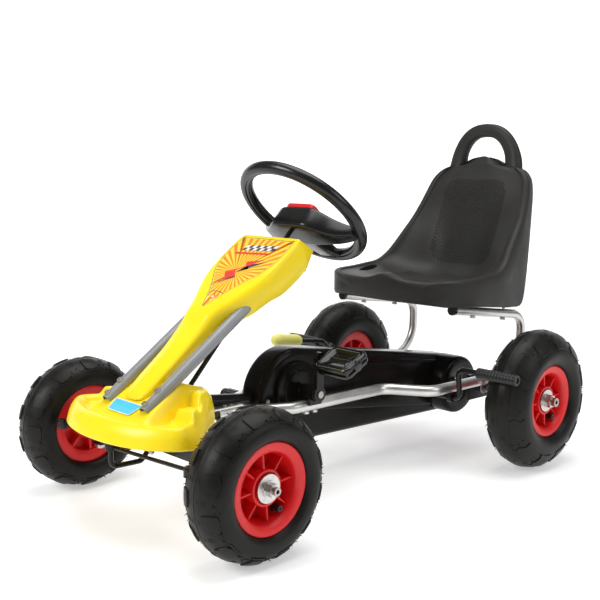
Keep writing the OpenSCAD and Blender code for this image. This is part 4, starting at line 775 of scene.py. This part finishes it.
# column cover: ridge (y, z), flat half, outer half, lower edge (y, z) and its half width, crown
coverLook = {
    "stations": [
        (-51.5, 197, 5, 10, -48, 196, 8, 0), (-50, 201, 12, 19, -42, 196, 18, 0.5),
        (-42, 209, 14, 23.5, -32, 198, 22, 2), (-20, 228, 16, 25.5, -8, 215, 24.5, 3),
        (20, 261, 16, 26, 33, 246, 25.5, 3), (46, 286, 17, 28, 62, 268, 29, 2.5),
        (62, 303, 18, 30, 82, 281, 32, 1.5), (74, 318.4, 20, 33, 95, 292, 35, 0.6),
        (86, 328, 24, 38, 109, 301, 39, 0.3), (102, 339.5, 33, 48, 127, 307, 47, 0),
        (120, 352.5, 45, 59.5, 143, 315, 54, 0), (137, 365, 56, 68, 157, 325, 59, 0),
        (155, 378, 64, 73.5, 174, 334, 61, 0), (176, 393, 69, 75, 196, 343, 64, 0),
        (203, 412.7, 71, 75, 223, 361, 66, 0), (220, 425, 69, 74, 241, 376, 67, 0),
        (228, 430.8, 66, 72, 251, 385, 66.5, 0)],
    "end": [(230, 431.3, 65, 71, 252, 387.5, 65.5, 0), (248, 422, 62, 67.5, 260, 396, 62, 0),
            (270, 411, 55, 59, 271, 407, 55, 0)],
    "steps": 5, "wall": 2.6}


def coverRing(station):
    y, z, flat, outer, ly, lz, lowHalf, crown = station
    at = lambda x, t: Vector((x, y + (ly - y) * t, z + (lz - z) * t))
    right = [Vector((flat * t, y, z + crown * (1 - t * t))) for t in (0, 0.25, 0.5, 0.75, 0.93)]
    right += curveThrough([
        at(flat, 0), at(flat + (outer - flat) * 0.62, 0.055), at(outer, 0.24), at(outer + 0.3, 0.5),
        at((outer + lowHalf) / 2 + (outer - lowHalf) * 0.22, 0.8), at(lowHalf, 1)], 3)
    return [Vector((-p.x, p.y, p.z)) for p in right[:0:-1]] + right


def makeCover(look):
    rings, end = ([coverRing(station) for station in look[part]] for part in ("stations", "end"))
    rings = throughRings(rings, look["steps"]) + end
    bm = bmesh.new()
    loft(bm, [[fromFront(*p) for p in ring] for ring in rings], closeRing=False)
    mesh = meshFrom(bm)
    if max(mesh.polygons, key=lambda p: p.center.z).normal.z < 0:
        mesh.flip_normals()
    return walled(mesh, look["wall"])


addPiece("columnCover", makeCover(coverLook), "yellow_plastic", "frame", "column_cover", 24)
print("column cover made")

# printed panels: foot (y, z) and slope of the plane, right half of the outline, bands (inset, colour) inwards
# from the edge, and inside them two colours in rays from a centre
decalLook = {
    "foot": (76.5, 321), "slope": 35.93, "centre": (-4, 96),
    "half": [(0, 5), (3.5, 9), (20, 42), (31, 60), (43, 76), (55, 93), (62.5, 112), (66.5, 134), (67, 152),
             (64, 176), (61.5, 180.5), (57, 182), (0, 183)],
    "light": (0.96, 0.68, 0.05), "dark": (0.84, 0.24, 0.02), "rays": 36, "share": 0.12,
    "bands": [(1.6, (0.97, 0.74, 0.03)), (2.7, (0.04, 0.03, 0.03)), (3.6, (0.97, 0.85, 0.30))],
    "red": (0.80, 0.05, 0.04), "black": (0.07, 0.06, 0.09), "white": (0.92, 0.92, 0.92),
    "arc": (45, 46.4, 68, 112), "star": (1, 33), "starSizes": (8, 4),
    "bolt": [(-36, 54), (8, 82), (-1, 93), (48, 126), (12, 114), (20, 105), (-18, 84), (-8, 75)],
    "boltEdge": [(-30, 61), (5, 86), (-5, 98), (38, 130), (2, 121), (9, 109), (-26, 92), (-15, 80)],
    "stripe": [(-46, 137), (36, 142), (38, 146.5), (-44, 142)],
    "checks": {"across": 9, "rows": 2, "size": 8.2, "low": 150, "lean": 3, "rise": 0.06}}
labelLook = {
    "foot": (-76, 180.5), "slope": 30.96, "centre": (0, 13),
    "half": [(0, 0.8), (22, 0.8), (27, 2), (29, 5), (33, 19), (33, 22.5), (29.5, 25), (0, 25)],
    "light": (0.10, 0.60, 0.83), "dark": (0.09, 0.56, 0.80), "rays": 1, "share": 0,
    "bands": [(1.1, (0.90, 0.93, 0.93)), (1.4, (0.10, 0.60, 0.83))]}
sheetLook = {"under": -0.3, "top": 0.35, "shape": 0.05, "level": 0.04}  # heights over the plane


def printMaterial(name, look):  # inks over sun rays from a middle point in the panel's own plane
    material = newMaterial(name, {"colour": look["light"], "rough": 0.3, "coat": 0.1, "shine": 0.35,
                                  "tone": 0.02, "bump": 0.02})
    wire(material.node_tree, {
        "ink": ("ShaderNodeAttribute", {"attribute_name": "ink"}),
        "spot": ("ShaderNodeAttribute", {"attribute_name": "panel"}),
        "parts": ("ShaderNodeSeparateXYZ", {}),
        "turn": ("ShaderNodeMath", {"operation": "ARCTAN2"}),
        "many": ("ShaderNodeMath", {"operation": "MULTIPLY", 1: look["rays"]}),
        "wave": ("ShaderNodeMath", {"operation": "SINE"}),
        "step": ("ShaderNodeMath", {"operation": "GREATER_THAN", 1: look["share"]}),
        "rays": ("ShaderNodeMix", {"data_type": "RGBA", "A": (*look["light"], 1), "B": (*look["dark"], 1)}),
        "over": ("ShaderNodeMix", {"data_type": "RGBA"})
        }, [
        ("spot", "Vector", "parts", 0), ("parts", "Y", "turn", 0), ("parts", "X", "turn", 1),
        ("turn", 0, "many", 0), ("many", 0, "wave", 0), ("wave", 0, "step", 0), ("step", 0, "rays", "Factor"),
        ("ink", "Alpha", "over", "Factor"), ("rays", "Result", "over", "A"), ("ink", "Color", "over", "B"),
        ("over", "Result", "shader", "Base Color")],
        {"shader": material.node_tree.nodes["Principled BSDF"]})
    return material


def onSheet(look, p, lift):
    a, (y, z) = math.radians(look["slope"]), look["foot"]
    c, s = math.cos(a), math.sin(a)
    return fromFront(p.x, y + p.y * c - lift * s, z + p.y * s + lift * c)


def shrunk(points, distance):  # closed line moved inwards, points anticlockwise
    out = []
    for i, p in enumerate(points):
        way = (points[(i + 1) % len(points)] - points[i - 1]).normalized()
        out.append(p + Vector((-way.y, way.x, 0)) * distance)
    return out


def printSheet(look, shapes=()):  # shapes: (points, colour), printed one over another
    bm = bmesh.new()
    ink = bm.loops.layers.float_color.new("ink")
    panel = bm.loops.layers.float_vector.new("panel")
    heart, bands, top = Vector((*look["centre"], 0)), look["bands"], sheetLook["top"]

    def corners(points, lift):
        return [(bm.verts.new(onSheet(look, p, lift)), p) for p in points]

    def addFace(made, colour):  # without a colour the rays show
        for loop, (vert, p) in zip(bm.faces.new([vert for vert, p in made]).loops, made):
            loop[ink] = (*colour, 1) if colour else (0, 0, 0, 0)
            loop[panel] = p - heart

    outline = bothHalves(curveThrough([(x, y, 0) for x, y in look["half"]], 3))
    rings = [corners(outline, sheetLook["under"]), corners(outline, top)]
    rings += [corners(shrunk(outline, inset), top) for inset, colour in bands]
    colours = [bands[0][1]] + [colour for inset, colour in bands]
    for a, b, colour in zip(rings, rings[1:], colours):
        for k in range(len(outline)):
            addFace((a[k - 1], a[k], b[k], b[k - 1]), colour)
    hub = corners([heart], top)[0]
    for k in range(len(outline)):
        addFace((rings[-1][k - 1], rings[-1][k], hub), None)
    addFace(rings[0][::-1], bands[0][1])
    for level, (points, colour) in enumerate(shapes):
        lift = top + sheetLook["shape"] + sheetLook["level"] * level
        addFace(corners([Vector((x, y, 0)) for x, y in points], lift), colour)
    mesh = bpy.data.meshes.new("sheet")
    bm.normal_update()
    bm.to_mesh(mesh)
    bm.free()
    return mesh


def arcBand(inner, outer, start, end, count=14):
    spots = [math.radians(start + (end - start) * k / count) for k in range(count + 1)]
    return [(outer * math.cos(a), outer * math.sin(a)) for a in spots] \
        + [(inner * math.cos(a), inner * math.sin(a)) for a in spots[::-1]]


def star(x, y, size):
    return [(x + r * math.sin(a), y + r * math.cos(a))
            for r, a in ((size * (1, 0.42)[k % 2], -math.pi * k / 5) for k in range(10))]


def decalShapes(look):
    red, black, white, checks = (look[key] for key in ("red", "black", "white", "checks"))
    shapes = [(arcBand(*look["arc"]), black)]
    shapes += [(star(*look["star"], size), colour) for size, colour in zip(look["starSizes"], (red, white))]
    shapes += [(look["bolt"], black), (look["boltEdge"], red), (look["stripe"], red)]
    size, lean, rise = checks["size"], checks["lean"], checks["rise"]
    high = size * 0.8
    for row in range(checks["rows"]):
        for k in range(checks["across"]):
            x = (k - checks["across"] / 2) * size
            v = checks["low"] + row * high + x * rise
            x += row * lean
            square = [(x, v), (x + size, v + size * rise), (x + size + lean, v + high), (x + lean, v + high)]
            shapes.append((square, (black, white)[(k + row) % 2]))
    return shapes


paint["decal_print"] = printMaterial("decalPrint", decalLook)
paint["label_print"] = printMaterial("labelPrint", labelLook)
decal = printSheet(decalLook, decalShapes(decalLook))
addPiece("sunrayPanel", decal, "decal_print", "frame", "decal_panel", 30)
addPiece("bareLabel", printSheet(labelLook), "label_print", "frame", "front_label", 30)
print("printed panels made")

# steering wheel, in its own plane: x across, v up the wheel, w along the column
wheelLook = {
    "length": 452, "ring": 112.6, "tube": 11.2, "around": 112, "section": 40, "steps": 4,
    "dips": (112, 205, 242), "dip": 1.6, "dipSpread": 50, "barCorner": 7, "postCorner": 5,
    # bar stations, one side: across, top, bottom, upper, lower
    "bar": [(0, 17, -38, 1.2, -42), (24, 17, -38, 1.2, -42), (38, 15, -38, 0.6, -41),
            (52, 6, -39, -0.5, -39), (66, -5, -40.5, -1.2, -36), (80, -14, -43, -1.2, -32),
            (93, -21, -45.5, -0.8, -26), (104, -26, -47, 0, -20)],
    # post stations: down the wheel, half width, upper, lower
    "post": [(-26, 32, -2, -38), (-45, 24, -2, -33), (-64, 20, -1.5, -27), (-84, 19, -1, -20),
             (-104, 25, 1, -12)],
    # cap stations: along the column, half across, half up
    "cap": [(-0.5, 33.4, 12.2), (5.4, 34, 12.7), (7.4, 33.2, 12), (8.5, 31, 10), (8.8, 26, 6)],
    "capMiddle": 3, "capCorner": 9}


def onWheel(x, v, w):
    lean = Vector((0, columnWay.z, -columnWay.y))
    heart = columnFoot + columnWay * ((wheelLook["length"] + w) * mm)
    return heart + Vector((x * mm, 0, 0)) - lean * (v * mm)


def makeWheel(look):
    section = []
    for i, (c, s) in enumerate(circle(look["section"])):
        t = 360 * i / look["section"]
        dip = sum(math.exp(-((t - at + 180) % 360 - 180) ** 2 / look["dipSpread"]) for at in look["dips"])
        r = look["tube"] - look["dip"] * dip
        section.append((look["ring"] + r * c, r * s))
    ring = solid([[onWheel(reach * c, reach * s, w) for reach, w in section]
                  for c, s in circle(look["around"])], wrap=True)
    stations = [(-x, *rest) for x, *rest in look["bar"][:0:-1]] + look["bar"]
    bar = [[onWheel(x, (top + bottom) / 2 + v, (upper + lower) / 2 + w)
            for v, w in roundRect((top - bottom) / 2, (upper - lower) / 2, look["barCorner"])]
           for x, top, bottom, upper, lower in stations]
    post = [[onWheel(x, v, (upper + lower) / 2 + w)
             for x, w in roundRect(half, (upper - lower) / 2, look["postCorner"])]
            for v, half, upper, lower in look["post"]]
    return joined(ring, *(solid(throughRings(rings, look["steps"])) for rings in (bar, post)))


def makeCap(look):
    return solid([[onWheel(x, look["capMiddle"] + v, w)
                   for x, v in roundRect(halfX, halfV, min(halfV - 0.1, look["capCorner"]), 6)]
                  for w, halfX, halfV in look["cap"]])


addPiece("steeringWheel", makeWheel(wheelLook), "wheel_plastic", "steering", "steering_wheel", 38)
addPiece("wheelCap", makeCap(wheelLook), "red_plastic", "steering", "steering_wheel_cap", 50)
print("steering wheel made")

# chain cover in two halves: belt shapes have two ends (y, z, radius) and edges (inset, x); knobs: (radius, x)
crankY, crankZ, axleY, axleZ = crankAt.y / mm, crankAt.z / mm, rearHub.y / mm, rearHub.z / mm
chainLook = {
    "belt": ((crankY + 2, crankZ - 13, 83), (axleY, axleZ - 6, 58)), "steps": 40, "knobSteps": 96,
    "edge": [(0, 0), (0, 15), (0.5, 18.5), (2.0, 22), (4.5, 24.6), (8, 26.4), (12, 27)],
    "blister": ((crankY, crankZ, 40), (axleY, axleZ - 4, 47)),
    "blisterEdge": [(0, 20), (0, 27.2), (0.8, 29.2), (2.6, 30.8), (5.5, 31.6)],
    "boss": [(49, 20), (49, 33), (48, 35.2), (46, 36), (36, 36), (34.4, 36.4), (34, 37.2), (33.4, 38.6),
             (31.5, 39)],
    "drum": [(57, 20), (57, 62), (56, 66), (53.5, 68.8), (50, 70), (30, 70), (28, 69)], "drumFlat": 68}


def beltLine(ends, inset, steps):
    (*a, wide), (*b, narrow) = ends
    a, b = Vector(a), Vector(b)
    base = math.atan2(b.y - a.y, b.x - a.x)
    turn = math.acos((wide - narrow) / (b - a).length)
    points = []
    for middle, radius, low, high in ((b, narrow - inset, -turn, turn),
                                      (a, wide - inset, turn, 2 * math.pi - turn)):
        for k in range(steps + 1):
            t = base + low + (high - low) * k / steps
            points.append(middle + Vector((math.cos(t), math.sin(t))) * radius)
    return points


def coverHalf(look, side):
    def pillow(ends, edge):
        return solid([[millimetres(side * x, *p) for p in beltLine(ends, inset, look["steps"])]
                      for inset, x in edge])

    def knob(profile, y, z, flat=-math.inf):
        return solid([[millimetres(side * x, y + r * c, max(z + r * s, flat))
                       for c, s in circle(look["knobSteps"])] for r, x in profile], weld=0)

    parts = [pillow(look["belt"], look["edge"]), knob(look["boss"], crankY, crankZ)]
    if side > 0:  # the chain wheel and the brake drum are on the left
        parts.append(pillow(look["blister"], look["blisterEdge"]))
        parts.append(knob(look["drum"], axleY, axleZ - 4, look["drumFlat"]))
    return joined(*parts)


for name, side in sides:
    node = "chain_cover_" + name.lower()
    addPiece("chainCover" + name, coverHalf(chainLook, side), "cover_plastic", "frame", node, 32)
print("chain covers made")

# pedals: two ridged treads on a barrel, a sunk four-sided dish in each
pedalLook = {
    "wide": 37, "long": 30, "corner": 12, "outward": 10, "barrel": 6.4, "lobe": 9.5, "ends": (-38, 34, 38),
    "ridges": [((24, 17, 7.2), (7, 0, 5.2)), ((24, -17, 7.2), (7, 0, 5.2)), ((-24, 17, 7.2), (-7, 0, 5.2)),
               ((-24, -17, 7.2), (-7, 0, 5.2)), ((-7, 0, 5.2), (7, 0, 5.2))],
    "rim": [(0, 3.4), (0, 6.6), (0.8, 8.2), (2.2, 9.0), (3.8, 8.6), (4.6, 7.0), (6.0, 6.8), (7.0, 8.4),
            (8.6, 8.8), (10.0, 8.0), (11.4, 6.9), (23.5, 4.4)],
    "inset": 3, "bevel": 0.5, "steps": 32, "tilt": {"Left": 28, "Right": 80}}


def makeTread(look, side, face):  # face 1 up, -1 down
    bm = bmesh.new()
    loft(bm, [[millimetres(side * x, y, face * z) for x, y in roundRect(
        look["wide"] - inset, look["long"] - inset, max(look["corner"] - inset * 0.8, 1), 6)]
        for inset, z in look["rim"]], capStart=True, capEnd=True)
    for ends in look["ridges"]:
        a, b = (Vector((x, y, face * z)) for x, y, z in ends)
        over = (b - a).cross(Vector((0, 0, face))).normalized()
        loft(bm, [[(p + over * w + Vector((0, 0, face * h))) * mm
                   for w, h in ((1.1, -1.5), (0, 0.9), (-1.1, -1.5))] for p in (a, b)],
             capStart=True, capEnd=True)
    return meshFrom(bm)


def makeBlock(half, bevel):
    bm = bmesh.new()
    bmesh.ops.create_cube(bm, size=2, matrix=Matrix.Diagonal((*half, 1)))
    bmesh.ops.bevel(bm, geom=bm.edges[:], offset=bevel, segments=2, profile=0.6, affect="EDGES")
    return meshFrom(bm)


def makePedal(look, place, side):
    inset, deep = look["inset"], look["rim"][0][1] + 0.5
    middle = makeBlock(millimetres(look["wide"] - inset, look["long"] - inset, deep), look["bevel"] * mm)
    parts = [makeTread(look, side, face) for face in (1, -1)] + [middle]
    inner, shoulder, outer = look["ends"]
    for low, high, radius in ((inner, shoulder, look["barrel"]), (shoulder - 1, outer, look["lobe"])):
        profile = [(low, radius - 1.2), (low + 0.8, radius), (high - 2, radius), (high - 0.6, radius - 1),
                   (high, radius - 2.6)]
        parts.append(solid([[millimetres(side * x, r * c, r * s) for c, s in circle(look["steps"])]
                            for x, r in profile], weld=0))
    mesh = joined(*parts)
    mesh.transform(place)
    return mesh


for name, side in sides:
    node = "pedal_" + name.lower()
    low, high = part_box(node)
    place = Matrix.Translation((low + high) / 2 + millimetres(side * pedalLook["outward"], 0, 0)) \
        @ Matrix.Rotation(math.radians(pedalLook["tilt"][name]), 4, "X")
    addPiece("pedal" + name, makePedal(pedalLook, place, side), "black_plastic", node + "_body", node)

# brake lever's grip: outline (along, radius)
gripLook = {
    "way": (0, -0.9923, 0.124), "length": 74, "steps": 40,
    "outline": [(0.2, 8), (1.5, 9.8), (4, 11), (9, 12.2), (16, 12.9), (26, 12.6), (36, 12.1), (46, 12.4),
                (56, 12.9), (64, 12), (69.5, 9.5), (72.5, 6), (73.8, 2.5)]}


def makeGrip(look):
    low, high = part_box("brake_grip")
    way = Vector(look["way"]).normalized()
    place = Matrix.Translation((low + high) / 2 - way * look["length"] / 2 * mm)
    place = place @ way.to_track_quat("Z", "X").to_matrix().to_4x4()
    return solid([[place @ millimetres(r * c, r * s, up) for c, s in circle(look["steps"])]
                  for up, r in look["outline"]])


# the brake's two grooved rubber rollers, each round its own bar
padLook = {"radius": 9.9, "groove": 0.4, "count": 13, "inner": 41, "bore": 5.2, "steps": 40}


def makePad(look, side):
    low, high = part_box("brake_pads")
    inner, outer, radius, groove = rearHub.x / mm - look["inner"], high.x / mm, look["radius"], look["groove"]
    span = (outer - inner) / look["count"]
    profile = [(inner, look["bore"])]
    for k in range(look["count"]):
        for t, drop in ((0, groove), (0.14, 0), (0.78, 0), (0.92, groove)):
            profile.append((inner + (k + t) * span, radius - drop))
    profile += [(outer, radius - 1), (outer, look["bore"])]
    mesh = solid(turned([(side * x, r) for x, r in profile], look["steps"]), weld=0, wrap=True)
    mesh.transform(Matrix.Translation((0, (low.y + high.y) / 2, (low.z + high.z) / 2)))
    return mesh


addPiece("leverGrip", makeGrip(gripLook), "grip_plastic", "brake", "brake_grip", 50)
pads = joined(*(makePad(padLook, side) for name, side in sides))
addPiece("brakeRollers", pads, "pad_rubber", "brake", "brake_pads")
print("pedals, grip and rollers made")

# CAD pieces that stay take better materials through their slots
for node, piece in frame["nodes"].items():
    for holder in piece.material_slots:
        name = holder.material.name.split(".")[0]
        if name in finishes:
            holder.material = paint["knuckle" if node.startswith("knuckle") else name]
print("CAD materials set")

low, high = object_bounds()
